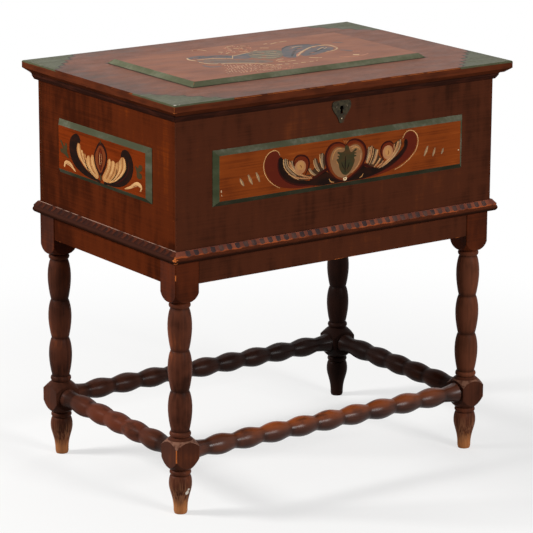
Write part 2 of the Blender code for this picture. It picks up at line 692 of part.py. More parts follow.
def make_hinges(lid_board, box_back):
    """Two butt hinges let into the back board, and the screws that hold their leaves."""
    down = (0, 0, -1)
    up = (0, 0, 1)
    half_gap = HINGE_LEAF_GAP / 2
    pieces = {"box": [], "lid": [], "pin": [], "box_screw": [], "lid_screw": []}
    for side, sign in (("left", -1), ("right", 1)):
        middle = sign * (BOX_WIDTH / 2 - HINGE_INSET)
        half = HINGE_WIDTH / 2
        box_leaf = hinge_leaf("hinge_box_leaf_" + side, middle, 0,
                              HINGE_Z - half_gap - HINGE_LEAF, HINGE_Z - half_gap)
        lid_leaf = hinge_leaf("hinge_lid_leaf_" + side, middle, 1,
                              HINGE_Z + half_gap, HINGE_Z + half_gap + HINGE_LEAF)
        axis = Matrix.Translation((middle, HINGE_Y, HINGE_Z)) @ lying("X")
        pin = [(-half, HINGE_PIN_RADIUS), (half, HINGE_PIN_RADIUS)]
        pieces["pin"].append(turned("hinge_pin_" + side, pin, SMALL_SIDES, axis))
        pieces["box"].append(box_leaf)
        pieces["lid"].append(lid_leaf)
        seat = block("seat", (middle - half - SEAT_GAP, BOX_BACK - HINGE_LEAF_DEPTH - SEAT_GAP,
                              HINGE_Z - half_gap - HINGE_LEAF - SEAT_GAP),
                     (middle + half + SEAT_GAP, BOX_BACK + WALL, BOX_TOP + WALL))
        combine(box_back, [seat], "DIFFERENCE")
        reach = HINGE_BARREL_RADIUS + MOVING_GAP
        relief = block("relief", (middle - half - MOVING_GAP, HINGE_Y - reach, HINGE_Z),
                       (middle + half + MOVING_GAP, HINGE_Y + reach, HINGE_Z + reach))
        combine(lid_board, [relief], "DIFFERENCE")
        rows = ((box_leaf, box_back, HINGE_Z - half_gap, down, "box_screw"),
                (lid_leaf, lid_board, HINGE_Z + half_gap, up, "lid_screw"))
        for leaf, board, z, direction, key in rows:
            for index, point in enumerate(hinge_screw_points(middle, z)):
                for held in (leaf, board):
                    combine(held, [screw("hole", point, direction, SCREW_LENGTH, SEAT_GAP)], "DIFFERENCE")
                name = "hinge_%s_%s_%d" % (key, side, index + 1)
                pieces[key].append(screw(name, point, direction, SCREW_LENGTH))
    return pieces


def make_key_plate(box_front):
    """The shield-shaped plate round the keyhole and the nails that hold it."""
    half = KEY_PLATE_WIDTH / 2
    outline = [(FRONT_CENTRE + half * across, KEY_PLATE_FOOT + KEY_PLATE_HEIGHT * rise)
               for across, rise in KEY_PLATE_OUTLINE]
    outline += [(2 * FRONT_CENTRE - x, z) for x, z in reversed(outline)]
    upright = Matrix.Translation((0, BOX_FRONT, 0)) @ Matrix.Rotation(math.pi / 2, 4, "X")
    plate = prism("key_plate", outline, SEAT_GAP, SEAT_GAP + KEY_PLATE_THICKNESS, upright)
    combine(plate, [keyhole_cutter(BOX_FRONT - WALL, BOX_FRONT + WALL)], "DIFFERENCE")
    combine(box_front, [keyhole_cutter(BOX_FRONT - WALL, BOX_FRONT + WALL)], "DIFFERENCE")
    face = -SEAT_GAP - KEY_PLATE_THICKNESS
    nails = []
    for name, x, z in nail_points():
        place = Matrix.Translation((x, BOX_FRONT + face, z)) @ lying("Y")
        point = KEY_PLATE_THICKNESS + NAIL_LENGTH
        dome = []
        for step in range(1, NAIL_DOME_STEPS + 1):
            angle = math.pi / 2 * step / NAIL_DOME_STEPS
            dome.append((-SEAT_GAP - NAIL_HEAD_HEIGHT * math.cos(angle), NAIL_HEAD_RADIUS * math.sin(angle)))
        shank = [(-SEAT_GAP, NAIL_SHANK_RADIUS), (point, NAIL_SHANK_RADIUS)]
        nails.append(turned("key_plate_nail_" + name, dome + shank, SMALL_SIDES, place))
        for held in (plate, box_front):
            radius = NAIL_SHANK_RADIUS + SEAT_GAP
            hole = [(-KEY_PLATE_THICKNESS, radius), (point + SEAT_GAP, radius)]
            combine(held, [turned("hole", hole, SMALL_SIDES, place)], "DIFFERENCE")
    return plate, nails


def make_lock(box_front, lid_board):
    """A lock let into the front board, its bolt, and the staple on the lid that the bolt holds."""
    x = FRONT_CENTRE
    half = LOCK_WIDTH / 2
    mortise = block("mortise", (x - half - SEAT_GAP, LOCK_FRONT - SEAT_GAP, LOCK_BOTTOM - SEAT_GAP),
                    (x + half + SEAT_GAP, INNER_FRONT + WALL, BOX_TOP + WALL))
    combine(box_front, [mortise], "DIFFERENCE")
    case = block("lock_case", (x - half, LOCK_FRONT, LOCK_BOTTOM), (x + half, INNER_FRONT, BOX_TOP))
    room_y = BOLT_THICKNESS / 2 + SEAT_GAP
    bolt_right = x - STAPLE_TONGUE / 2 - BOLT_REST_GAP
    channel = block("channel", (x - half - WALL, BOLT_Y - room_y, BOLT_Z - BOLT_ROOM),
                    (bolt_right + BOLT_TRAVEL + SEAT_GAP, BOLT_Y + room_y, BOLT_Z + BOLT_ROOM))
    key_room = block("key_room", (x - KEY_ROOM_WIDTH / 2, LOCK_FRONT - WALL, LOCK_BOTTOM + KEY_ROOM_RISE),
                     (x + KEY_ROOM_WIDTH / 2, INNER_FRONT - LOCK_BACK, BOLT_Z - BOLT_ROOM))
    play = STAPLE_TONGUE_WIDTH / 2 + MOVING_GAP
    slot = block("slot", (x - STAPLE_TONGUE / 2 - MOVING_GAP, BOLT_Y - play, STAPLE_FOOT - MOVING_GAP),
                 (x + STAPLE_TONGUE / 2 + MOVING_GAP, BOLT_Y + play, BOX_TOP + WALL))
    combine(case, [channel, key_room, slot], "DIFFERENCE")
    bolt = block("lock_bolt",
                 (bolt_right - BOLT_LENGTH, BOLT_Y - BOLT_THICKNESS / 2, BOLT_Z - BOLT_HEIGHT / 2),
                 (bolt_right, BOLT_Y + BOLT_THICKNESS / 2, BOLT_Z + BOLT_HEIGHT / 2))
    screws = []
    for side, point in lock_screw_points().items():
        for held in (case, box_front):
            combine(held, [screw("hole", point, (0, -1, 0), LOCK_SCREW_LENGTH, SEAT_GAP)], "DIFFERENCE")
        screws.append(screw("lock_screw_" + side, point, (0, -1, 0), LOCK_SCREW_LENGTH))
    return case, bolt, screws, make_staple(lid_board)


def make_staple(lid_board):
    """The staple let into the underside of the lid: a plate with an eyed tongue and two driven spikes."""
    x = FRONT_CENTRE
    low = (x - STAPLE_WIDTH / 2, BOLT_Y - STAPLE_DEPTH / 2, LID_UNDER)
    high = (x + STAPLE_WIDTH / 2, BOLT_Y + STAPLE_DEPTH / 2, LID_UNDER + STAPLE_PLATE)
    margin = Vector((SEAT_GAP, SEAT_GAP, SEAT_GAP))
    recess = block("recess", Vector(low) - margin, Vector(high) + margin)
    combine(lid_board, [recess], "DIFFERENCE")
    staple = block("lock_staple", low, high)
    half = STAPLE_TONGUE_WIDTH / 2
    tongue = block("tongue", (x - STAPLE_TONGUE / 2, BOLT_Y - half, STAPLE_FOOT),
                   (x + STAPLE_TONGUE / 2, BOLT_Y + half, LID_UNDER + STAPLE_PLATE / 2))
    combine(staple, [tongue], "UNION")
    eye_y = BOLT_THICKNESS / 2 + 2 * SEAT_GAP
    eye_z = BOLT_ROOM + SEAT_GAP
    eye = block("eye", (x - STAPLE_WIDTH, BOLT_Y - eye_y, BOLT_Z - eye_z),
                (x + STAPLE_WIDTH, BOLT_Y + eye_y, BOLT_Z + eye_z))
    combine(staple, [eye], "DIFFERENCE")
    for side in (-1, 1):
        place = Matrix.Translation((x + side * STAPLE_SPIKE_SPREAD / 2, BOLT_Y, high[2]))
        root = -STAPLE_PLATE / 2
        radius = STAPLE_SPIKE_RADIUS
        spike = [(root, radius), (0.0, radius), (STAPLE_SPIKE_LENGTH, radius / 3)]
        hole = [(root, radius + SEAT_GAP), (0.0, radius + SEAT_GAP),
                (STAPLE_SPIKE_LENGTH + SEAT_GAP, radius / 3 + SEAT_GAP)]
        combine(staple, [turned("spike", spike, SMALL_SIDES, place)], "UNION")
        combine(lid_board, [turned("hole", hole, SMALL_SIDES, place)], "DIFFERENCE")
    return staple


def make_till():
    """A partitioned till that slides along two runners inside the box."""
    left = TILL_LEFT
    right = TILL_LEFT + TILL_WIDTH
    deck = TILL_FOOT + TILL_FLOOR
    wall_foot = deck + SEAT_GAP
    boards = [block("till_floor", (left, TILL_FRONT, TILL_FOOT), (right, TILL_BACK, deck)),
              block("till_left", (left, TILL_FRONT, wall_foot), (left + TILL_WALL, TILL_BACK, TILL_TOP)),
              block("till_right", (right - TILL_WALL, TILL_FRONT, wall_foot), (right, TILL_BACK, TILL_TOP))]
    inner = (left + TILL_WALL + SEAT_GAP, right - TILL_WALL - SEAT_GAP)
    pitch = (TILL_BACK - TILL_FRONT - TILL_WALL) / (TILL_PARTITIONS + 1)
    names = ["till_front"]
    names += ["till_partition_%d" % (index + 1) for index in range(TILL_PARTITIONS)]
    names.append("till_back")
    for index, name in enumerate(names):
        y = TILL_FRONT + index * pitch
        boards.append(block(name, (inner[0], y, wall_foot), (inner[1], y + TILL_WALL, TILL_TOP)))
    runners = []
    reach = INNER_HALF_WIDTH - SEAT_GAP
    for name, face, inward in (("runner_front", INNER_FRONT, 1), ("runner_back", INNER_BACK, -1)):
        edges = sorted((face + inward * SEAT_GAP, face + inward * RUNNER_WIDTH))
        low = (-reach, edges[0], RUNNER_TOP - RUNNER_HEIGHT)
        runners.append(block(name, low, (reach, edges[1], RUNNER_TOP)))
    return boards, runners


def build():
    """Make every piece, finish it, and hang what moves on its joint axis."""
    for old in list(bpy.data.objects):
        bpy.data.objects.remove(old)
    red_brown = finish("red_brown_paint", (0.078, 0.017, 0.008), 0.42)
    dark_stain = finish("dark_stain", (0.052, 0.013, 0.008), 0.38)
    lid_red = finish("worn_lid_red", (0.155, 0.062, 0.042), 0.55)
    orange = finish("orange_panel_paint", (0.235, 0.058, 0.014), 0.50)
    bare_pine = finish("bare_pine", (0.42, 0.25, 0.12), 0.65)
    iron = finish("dark_iron", (0.055, 0.055, 0.045), 0.50, 0.9)
    brass = finish("old_brass", (0.30, 0.23, 0.12), 0.45, 0.9)

    legs, rails, stretchers = make_stand()
    front, back, left, right, bottom = make_box()
    panels, lid_panel = make_panels()
    base_strips, lid_strips = make_mouldings()
    lid_board = make_lid_board()
    hinges = make_hinges(lid_board, back)
    key_plate, nails = make_key_plate(front)
    lock_case, bolt, lock_screws, staple = make_lock(front, lid_board)
    till, runners = make_till()

    dress(legs + stretchers, dark_stain, smooth=True)
    dress(rails + [front, back, left, right] + base_strips + lid_strips, red_brown)
    dress([lid_board], lid_red)
    dress(panels + [lid_panel], orange)
    dress([bottom] + till + runners, bare_pine)
    dress(hinges["box"] + hinges["lid"] + hinges["pin"] + [lock_case, key_plate, staple], iron)
    dress([bolt] + nails + lock_screws + hinges["box_screw"] + hinges["lid_screw"], brass)

    lid_pieces = [lid_board, lid_panel, staple] + lid_strips
    carry("lid_hinge_axis", (0, HINGE_Y, HINGE_Z), lid_pieces + hinges["lid"] + hinges["lid_screw"])
    carry("bolt_slide_axis", (FRONT_CENTRE, BOLT_Y, BOLT_Z), [bolt])
    carry("till_slide_axis", (TILL_LEFT, BOX_Y, TILL_FOOT), till)


build()
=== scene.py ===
# %% [markdown]
# # A painted sewing box on a turned stand
# The real thing is a lidded chest of pine boards, painted red-brown, with raised panels that carry
# brush-painted scrolls, on four turned legs tied by bobbin-turned stretchers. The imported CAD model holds
# every piece at its place and size, so this lesson only makes the surfaces: finer turnings, softened
# edges, the brushwork and the worn paint.

# %% Load the frame
import math

import bmesh
import bpy
from mathutils import Matrix, Vector


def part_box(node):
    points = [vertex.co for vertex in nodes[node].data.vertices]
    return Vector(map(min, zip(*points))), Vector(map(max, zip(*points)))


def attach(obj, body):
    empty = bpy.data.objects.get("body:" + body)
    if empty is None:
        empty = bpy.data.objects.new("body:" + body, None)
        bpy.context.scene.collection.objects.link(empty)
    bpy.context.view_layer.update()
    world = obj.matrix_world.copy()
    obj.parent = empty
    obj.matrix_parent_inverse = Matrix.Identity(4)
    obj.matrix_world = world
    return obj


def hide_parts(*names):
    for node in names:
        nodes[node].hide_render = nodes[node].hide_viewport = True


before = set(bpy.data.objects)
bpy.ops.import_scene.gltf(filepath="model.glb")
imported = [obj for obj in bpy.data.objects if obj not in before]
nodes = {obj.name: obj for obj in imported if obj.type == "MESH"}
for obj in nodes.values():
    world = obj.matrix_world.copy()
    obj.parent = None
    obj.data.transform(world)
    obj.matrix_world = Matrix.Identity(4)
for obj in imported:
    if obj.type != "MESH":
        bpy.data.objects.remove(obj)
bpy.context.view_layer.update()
MM = 0.001

# %% [markdown]
# ## The camera
# The photograph was taken with a long lens from the left, a little above the lid. The place and the
# turn below make the corners of the box land where they are in the picture. A camera looks along its
# own -Z, so it is first tipped up to face +Y, then turned to the side, and rolled last.

# %% Camera
CAMERA_PLACE = (-2.3404, -3.3170, 1.3658)
CAMERA_DIP = math.radians(14.815)
CAMERA_TURN = math.radians(35.2)
CAMERA_ROLL = math.radians(0.214)
CAMERA_LENS = 188.0

turn = Matrix.Rotation(-CAMERA_TURN, 3, "Z") @ Matrix.Rotation(math.pi / 2 - CAMERA_DIP, 3, "X")
turn = turn @ Matrix.Rotation(CAMERA_ROLL, 3, "Z")
bpy.ops.object.camera_add(location=CAMERA_PLACE, rotation=turn.to_euler())
camera = bpy.context.object
camera.data.lens = CAMERA_LENS
bpy.context.scene.camera = camera
bpy.context.scene.view_settings.view_transform = "Standard"

# %% [markdown]
# ## Writing finishes as sums
# Wood and worn paint come from layers of noise that are added, compared and used to blend colours. One
# small class stands for a socket: adding or multiplying two of them adds a Math node, and one method
# makes every other kind of node. A finish is then a colour, a gloss and a fine relief.


# %% Shader sums
def feed(tree, socket, value):
    """Link a socket to a Shade, or set it to a plain value."""
    if isinstance(value, Shade):
        tree.links.new(value.socket, socket)
    else:
        socket.default_value = value


class Shade:
    """A socket in a finish's node tree, on which Python arithmetic adds Math nodes."""

    def __init__(self, tree, socket=None):
        self.tree = tree
        self.socket = socket

    def node(self, kind, settings=None, sockets=None, output=0):
        """Any node: its settings first, then the values or links of its sockets."""
        made = self.tree.nodes.new("ShaderNode" + kind)
        for key, value in (settings or {}).items():
            setattr(made, key, value)
        for key, value in (sockets or {}).items():
            feed(self.tree, made.inputs[key], value)
        return Shade(self.tree, made.outputs[output])

    def sum(self, operation, first, second=0.0):
        """A Math node on one or two values."""
        return self.node("Math", {"operation": operation}, {0: first, 1: second})

    def __add__(self, other):
        return self.sum("ADD", self, other)

    def __sub__(self, other):
        return self.sum("SUBTRACT", self, other)

    def __rsub__(self, other):
        return self.sum("SUBTRACT", other, self)

    def __mul__(self, other):
        return self.sum("MULTIPLY", self, other)

    def __truediv__(self, other):
        return self.sum("DIVIDE", self, other)

    def __abs__(self):
        return self.sum("ABSOLUTE", self)

    __radd__ = __add__
    __rmul__ = __mul__

    def ease(self, low, high):
        """Rise smoothly from 0 to 1 as this value goes from low to high."""
        return self.node("MapRange", {"interpolation_type": "SMOOTHSTEP"}, {0: self, 1: low, 2: high})

    def mix(self, off, on):
        """Blend from one colour to another by this value."""
        return self.node("Mix", {"data_type": "RGBA"}, {0: self, 6: off, 7: on}, 2)

    def noise(self, waves, detail=3, shift=(0, 0, 0)):
        """Noise over this place, with so many waves in a metre, along each axis or on all."""
        waves = waves if isinstance(waves, tuple) else (waves, waves, waves)
        place = self.node("Mapping", None, {"Vector": self, "Scale": waves, "Location": shift})
        return self.node("TexNoise", None, {"Vector": place, "Scale": 1.0, "Detail": detail}, "Fac")

    def axis(self, name):
        """One coordinate of this place."""
        return self.node("SeparateXYZ", None, {0: self}, name)

    def away(self, spot):
        """How far this place is from a spot."""
        return self.node("VectorMath", {"operation": "DISTANCE"}, {0: self, 1: spot}, "Value")


print("shader sums ready")


# %% Finishes
def srgb(red, green, blue):
    """A paint chart's colour, 0 to 255, in the linear values that shaders use."""
    linear = []
    for part in (red, green, blue):
        share = part / 255
        linear.append(share / 12.92 if share < 0.04045 else ((share + 0.055) / 1.055) ** 2.4)
    return (*linear, 1.0)


def new_finish(name):
    """A material and the place on the piece that its patterns follow."""
    material = bpy.data.materials.new(name)
    material.use_nodes = True
    return material, Shade(material.node_tree).node("TexCoord", output="Object")


def lay_finish(material, colour, roughness, height=None, relief=0.0, metallic=0.0, shine=0.0):
    """Wire a finish's colour, gloss and fine relief to its shader; without shine it is dull."""
    shader = material.node_tree.nodes["Principled BSDF"]
    values = {"Base Color": colour, "Roughness": roughness, "Metallic": metallic, "Specular IOR Level": shine}
    if height:
        values["Normal"] = height.node("Bump", None, {"Distance": relief, "Height": height})
    for name, value in values.items():
        feed(material.node_tree, shader.inputs[name], value)
    return material


print("white is", srgb(255, 255, 255))

# %% [markdown]
# ## Red-brown box paint
# The boards carry a thin red-brown glaze over pine, with soft upright bands that the brush left, fine
# level grain lines and dull dark patches. Noises give them all, because a stretched noise turns into
# streaks.

# %% Box paint
BOX_TONES = (srgb(56, 23, 11), srgb(84, 35, 15), srgb(126, 54, 15))
FRONT_BOX_TONES = (srgb(50, 26, 17), srgb(75, 38, 24), srgb(106, 53, 27))
BOX_DARK = (-0.22, 0.04)
BOX_LIGHT = (0.05, 0.34)
BARE_WOOD = srgb(190, 104, 52)
LEVEL_GRAIN = (6, 6, 420)
BOX_RELIEF = 0.3 * MM
FRONT_FACE = -0.1775
FAR_END = (0.06, 0.17)
CORNER_SHADOW_RISE = (0.016, 0.003)
CORNER_SHADOW_REACH = (0.035, 0.008)
PAINT_EDGE = 0.002
RAIL_SETBACK = 0.003
FOOT_RUB = (0.004, 0.002)
strip_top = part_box("base_moulding_left")[1].z
rail_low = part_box("rail_front")[0]


def three_tones(tone, tones, dark=(-0.24, 0.06), light=(0.04, 0.28)):
    """Three colours of one paint, from thick and dark to thin and light."""
    return tone.ease(*light).mix(tone.ease(*dark).mix(tones[0], tones[1]), tones[2])


def span(start, steps):
    """Two places, given as steps from a start."""
    return [start + step for step in steps]


def box_colour(place, front_face=FRONT_FACE):
    """The streaky glaze, browner on the front, dark at the far end, with a painted shadow low at the front
    corner.
    """
    y, z = place.axis("Y"), place.axis("Z")
    bands = place.noise((34, 34, 1.8), 2)
    streaks = place.noise((130, 130, 4), 2)
    patches = place.noise((7, 7, 5), 3, (3, 1, 0))
    lines = place.noise(LEVEL_GRAIN, 2)
    mottle = place.noise((60, 60, 26), 3, (0, 5, 2))
    tone = bands * 0.27 + streaks * 0.18 + patches * 0.62 + mottle * 0.35 + lines * 0.20 - 0.83
    # Painted shadow: the sides darken low at their front corner, just above the moulding.
    corner_shadow = z.ease(*span(strip_top, CORNER_SHADOW_RISE)) * y.ease(*span(FRONT_FACE, CORNER_SHADOW_REACH))
    side_tone = tone - y.ease(*FAR_END) * 0.13 - corner_shadow * z.ease(strip_top - PAINT_EDGE, strip_top) * 0.25
    front = y.ease(front_face, front_face - PAINT_EDGE)
    side_paint = three_tones(side_tone, BOX_TONES, BOX_DARK, BOX_LIGHT)
    return front.mix(side_paint, three_tones(tone, FRONT_BOX_TONES, BOX_DARK, BOX_LIGHT))


def rail_colour(place):
    """The same glaze on the rails, whose front lies a little further back."""
    return box_colour(place, rail_low.y + RAIL_SETBACK)


def box_paint(name, colour_of):
    """Glazed boards with a dull old varnish."""
    material, place = new_finish(name)
    lines = place.noise(LEVEL_GRAIN, 2)
    gloss = place.noise((14, 14, 5)) * 0.22 + 0.31
    return lay_finish(material, colour_of(place), gloss, lines, BOX_RELIEF)


def worn_edge(name, colour_of, amount, spots=(), more=None):
    """An edge where handling has rubbed the paint to bare wood, at some spots for sure."""
    material, place = new_finish(name)
    rubbed = place.noise(38, 5)
    if more:
        rubbed = rubbed + more(place)
    rubbed = rubbed.ease(0.64 - amount, 0.70 - amount)
    for spot, size in spots:
        rubbed = rubbed.sum("MAXIMUM", rubbed, place.away(spot).ease(size, size * 0.8))
    return lay_finish(material, rubbed.mix(colour_of(place), BARE_WOOD), 0.5)


def foot_rub(place):
    """Rails are rubbed along their lower edge only."""
    return place.axis("Z").ease(*span(rail_low.z, FOOT_RUB)) * 0.2 - 0.2


box_finish = box_paint("box_paint", box_colour)
rail_finish = box_paint("rail_paint", rail_colour)
box_edge_finish = worn_edge("box_worn_edge", box_colour, -0.03)
rail_edge_finish = worn_edge("rail_worn_edge", rail_colour, 0.06, (), foot_rub)
print("finishes", box_finish.name, rail_finish.name, box_edge_finish.name, rail_edge_finish.name)

# %% [markdown]
# ## Dark stain of the stand
# The turned pieces are stained darker than the box. The grain runs along each piece, shoes have polished
# the stretchers, and the toes are worn to bare wood by scrubbed floors. Painted shade darkens the hollows,
# the undersides of the beads and the back right corner, and painted light brightens the front right leg
# low down and the up-facing shoulders. Height above the floor tells where the toes are, and a number
# stored at each point how deep it lies.

# %% Stain colour
PAINTED_SHADE_BLACK = srgb(22, 14, 12)
STAIN_TONES = (srgb(50, 27, 19), srgb(86, 47, 33), srgb(118, 62, 38))
LIT_BROWN = srgb(128, 74, 50)
FOOT_BROWN = srgb(142, 94, 66)
TOE_WOOD = srgb(187, 129, 84)
TOE_BROWN = srgb(150, 84, 42)
SCUFF_WHITE = srgb(214, 204, 190)
FAR_BACK = (-0.17, 0.06)
FAR_RIGHT = (-0.26, 0.20)
LIT_RIGHT = (0.08, 0.25)
LIT_FRONT = (-0.04, -0.13)
BLOCK_LOW = (0.064, 0.070)
BLOCK_HIGH = (0.118, 0.112)
FOOT_NECK = (0.052, 0.058)
SCRUBBED = (0.062, 0.030)
BARE_TOE = (0.027, 0.010)
TOE_FRINGE = 0.036
SCUFF_RAGGED = 0.003
CHIP_CORE = 0.7
leg_low, leg_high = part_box("leg_front_left")
SCUFFS = (((leg_low.x + 0.022, leg_low.y + 0.0045, 0.0335), 0.0055),
          ((leg_low.x + 0.0235, leg_low.y + 0.0045, 0.0385), 0.0040),
          ((leg_low.x + 0.004, leg_low.y + 0.022, 0.031), 0.0022))


def chipped(place, colour, spots, ragged, under):
    """A colour with small ragged chips, through which another one shows."""
    for spot, size in spots:
        colour = (place.away(spot) + ragged).ease(size, size * CHIP_CORE).mix(colour, under)
    return colour


def stain_colour(place, grain):
    """Grained stain, bare toes, painted shade in hollows and at the back right, painted light at the front
    right.
    """
    x, y, z = place.axis("X"), place.axis("Y"), place.axis("Z")
    lines = place.noise(grain)
    patches = place.noise(18, 4)
    stain = three_tones(lines * 0.45 + patches - 0.72, STAIN_TONES)
    stain = (z.ease(*BLOCK_LOW) * z.ease(*BLOCK_HIGH) * 0.45).mix(stain, STAIN_TONES[0])
    # Painted shade: the stain turns nearly black towards the back right.
    far = y.ease(*FAR_BACK) * (x.ease(*FAR_RIGHT) * 0.75 + 0.25)
    # Painted light: the front right leg is lighter below its lower block.
    lit_front_right = x.ease(*LIT_RIGHT) * y.ease(*LIT_FRONT) * z.ease(*BLOCK_HIGH[::-1])
    stain = (far * 0.9).mix((lit_front_right * 0.25).mix(stain, LIT_BROWN), PAINTED_SHADE_BLACK)
    # Painted shade: necks and waists darken where the stored hollow is deep.
    hollow = place.node("Attribute", {"attribute_name": "hollow"}, None, "Fac")
    stain = (hollow.ease(0.6, 1.0) * z.ease(*FOOT_NECK) * 0.55).mix(stain, PAINTED_SHADE_BLACK)
    height = z + place.noise((420, 420, 26), 4) * TOE_FRINGE - TOE_FRINGE / 2
    fibre = place.noise((420, 420, 14))
    scrubbed = z.ease(*SCRUBBED) * fibre.ease(0.38, 0.62) * (1 - far)
    bare = height.ease(*BARE_TOE) * (1 - far)
    colour = bare.mix((scrubbed * 0.8).mix(stain, FOOT_BROWN), lines.mix(TOE_WOOD, TOE_BROWN))
    return chipped(place, colour, SCUFFS, place.noise(500, 2) * SCUFF_RAGGED, SCUFF_WHITE)


print("stain with", len(SCUFFS), "scuffs on the front left foot, toes bare below", BARE_TOE[0] / MM, "mm")

# %% Stand finishes
RUBBED_ORANGE = srgb(148, 74, 34)
RUBBED_RED = srgb(104, 51, 33)
SHOULDER_LIT_PALE = srgb(150, 108, 88)
BEAD_SHADE_LOW = 0.003
SHOE_DEPTH = 0.014
SHOE_REACH = (0.25, 0.12)
SHOE_MIDDLE = 0.02
FRONT_ONLY = 0.01
KNEE_REACH = (0.125, 0.04)
SHOULDER_FAR = (-0.05, 0.05)
BLOCK_BLEND = (0.306, 0.322)
STAIN_RELIEF = 0.2 * MM
UPRIGHT_GRAIN = (260, 260, 7)
ACROSS_GRAIN = (7, 260, 260)
INWARD_GRAIN = (260, 7, 260)
LEG_GLOSS = (0.58, 0.26, 0.02)
FRONT_GLOSS = (0.40, 0.21, 0.15)
BACK_GLOSS = (0.42, 0.24, 0.06)
INWARD_GLOSS = (0.46, 0.26, 0.02)
stretcher_low, stretcher_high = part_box("stretcher_front")
left_low, left_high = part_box("stretcher_left")
ARRIS_WEAR = (((leg_low.x, leg_low.y, 0.092), 0.014), ((leg_low.x, leg_low.y, 0.3555), 0.0045),
              ((leg_low.x + 0.002, leg_low.y + 0.002, 0.322), 0.003))


def bead_colour(place, grain):
    """Beads are darker underneath: painted shade."""
    under = place.axis("Z").ease((stretcher_low.z + stretcher_high.z) / 2, stretcher_low.z + BEAD_SHADE_LOW)
    return (under * 0.6).mix(stain_colour(place, grain), PAINTED_SHADE_BLACK)


def stretcher_colour(place, grain):
    """The same stain, rubbed orange by shoes along the top of the front stretcher."""
    upper = place.axis("Z").ease(stretcher_high.z - SHOE_DEPTH, stretcher_high.z)
    front = place.axis("Y").ease(stretcher_high.y + FRONT_ONLY, stretcher_high.y)
    centre = place.away((SHOE_MIDDLE, stretcher_low.y, stretcher_low.z)).ease(*SHOE_REACH)
    patches = place.noise((30, 60, 60), 4).ease(0.26, 0.50)
    return (upper * front * centre * patches * 0.85).mix(bead_colour(place, grain), RUBBED_ORANGE)


def inward_colour(place, grain):
    """The same stain, rubbed redder along the middle of the left stretcher."""
    centre = place.away((left_low + left_high) / 2).ease(*KNEE_REACH)
    patches = place.noise((60, 30, 60), 4).ease(0.24, 0.52)
    return (centre * patches * 0.7).mix(bead_colour(place, grain), RUBBED_RED)


def leg_colour(place, grain=UPRIGHT_GRAIN):
    """A leg is stained, but its top block was painted over together with the rails."""
    return place.axis("Z").ease(*BLOCK_BLEND).mix(stain_colour(place, grain), box_colour(place))


def shoulder_colour(place, grain):
    """Up-facing shoulders above a leg's lower block, paler in patches: painted light and stain rubbed by
    knocks.
    """
    rubbed = place.noise(160).ease(0.30, 0.60)
    far = place.axis("Y").ease(*SHOULDER_FAR)
    return (rubbed * (1 - far) * 0.6).mix(stain_colour(place, grain), SHOULDER_LIT_PALE)


def stand_stain(name, colour_of, grain, gloss):
    """Varnished stain, with its dullest and its glossiest roughness and its shine."""
    dullest, glossiest, shine = gloss
    material, place = new_finish(name)
    roughness = place.noise(11) * (dullest - glossiest) + glossiest
    height = place.noise(grain)
    return lay_finish(material, colour_of(place, grain), roughness, height, STAIN_RELIEF, shine=shine)


leg_finish = stand_stain("leg_stain", leg_colour, UPRIGHT_GRAIN, LEG_GLOSS)
across_finish = stand_stain("stretcher_stain_across", stretcher_colour, ACROSS_GRAIN, FRONT_GLOSS)
back_finish = stand_stain("stretcher_stain_back", bead_colour, ACROSS_GRAIN, BACK_GLOSS)
inward_finish = stand_stain("stretcher_stain_inward", inward_colour, INWARD_GRAIN, INWARD_GLOSS)
shoulder_finish = stand_stain("leg_shoulder_stain", shoulder_colour, UPRIGHT_GRAIN, LEG_GLOSS)
leg_edge_finish = worn_edge("leg_worn_edge", leg_colour, 0.0, ARRIS_WEAR)
print("finishes", leg_finish.name, across_finish.name, back_finish.name, inward_finish.name)

# %% [markdown]
# ## Hand tools
# Every new piece starts from a primitive or a drawn curve and is shaped with operators. These few helpers
# name the new piece, pick faces or edges by where they are, and press a piece's place into its mesh, so
# that its object stays at the origin.

# %% Hand tools
FLAT = (0.0, 0.0, 0.0)
SMOOTH = 40


def let_go():
    """Select nothing, because an operator works on all that is selected."""
    bpy.ops.object.select_all(action="DESELECT")


def hold(piece):
    """Select one piece alone."""
    let_go()
    piece.select_set(True)
    bpy.context.view_layer.objects.active = piece


def named(name, *finishes):
    """Name the piece just added or copied, and give it its finishes."""
    piece = bpy.context.object
    piece.name = name
    piece.data.name = name
    for finish in finishes:
        piece.data.materials.append(finish)
    return piece


def settle(piece, place=FLAT, turn=FLAT):
    """Move and turn a piece, then press that into its mesh."""
    hold(piece)
    piece.location = piece.location + Vector(place)
    piece.rotation_euler = turn
    bpy.ops.object.transform_apply(location=True, rotation=True, scale=True)
    return piece


def edit(piece, kind="FACE"):
    """Open one piece for editing, with nothing selected."""
    hold(piece)
    bpy.ops.object.mode_set(mode="EDIT")
    bpy.ops.mesh.select_mode(type=kind)
    bpy.ops.mesh.select_all(action="DESELECT")


def pick(kind, test):
    """Select the faces, edges or points of the open piece that pass a test."""
    bpy.ops.mesh.select_mode(type=kind)
    bpy.ops.mesh.select_all(action="DESELECT")
    mesh = bmesh.from_edit_mesh(bpy.context.object.data)
    parts = {"FACE": mesh.faces, "EDGE": mesh.edges, "VERT": mesh.verts}[kind]
    for part in parts:
        part.select_set(test(part))
    mesh.select_flush_mode()
    bmesh.update_edit_mesh(bpy.context.object.data)


def middle(part):
    """The middle of a face or an edge."""
    return sum((point.co for point in part.verts), Vector()) / len(part.verts)


def smooth_below(angle):
    """Shade a piece smooth wherever its faces meet at less than an angle."""
    bpy.ops.object.shade_smooth_by_angle(angle=math.radians(angle))


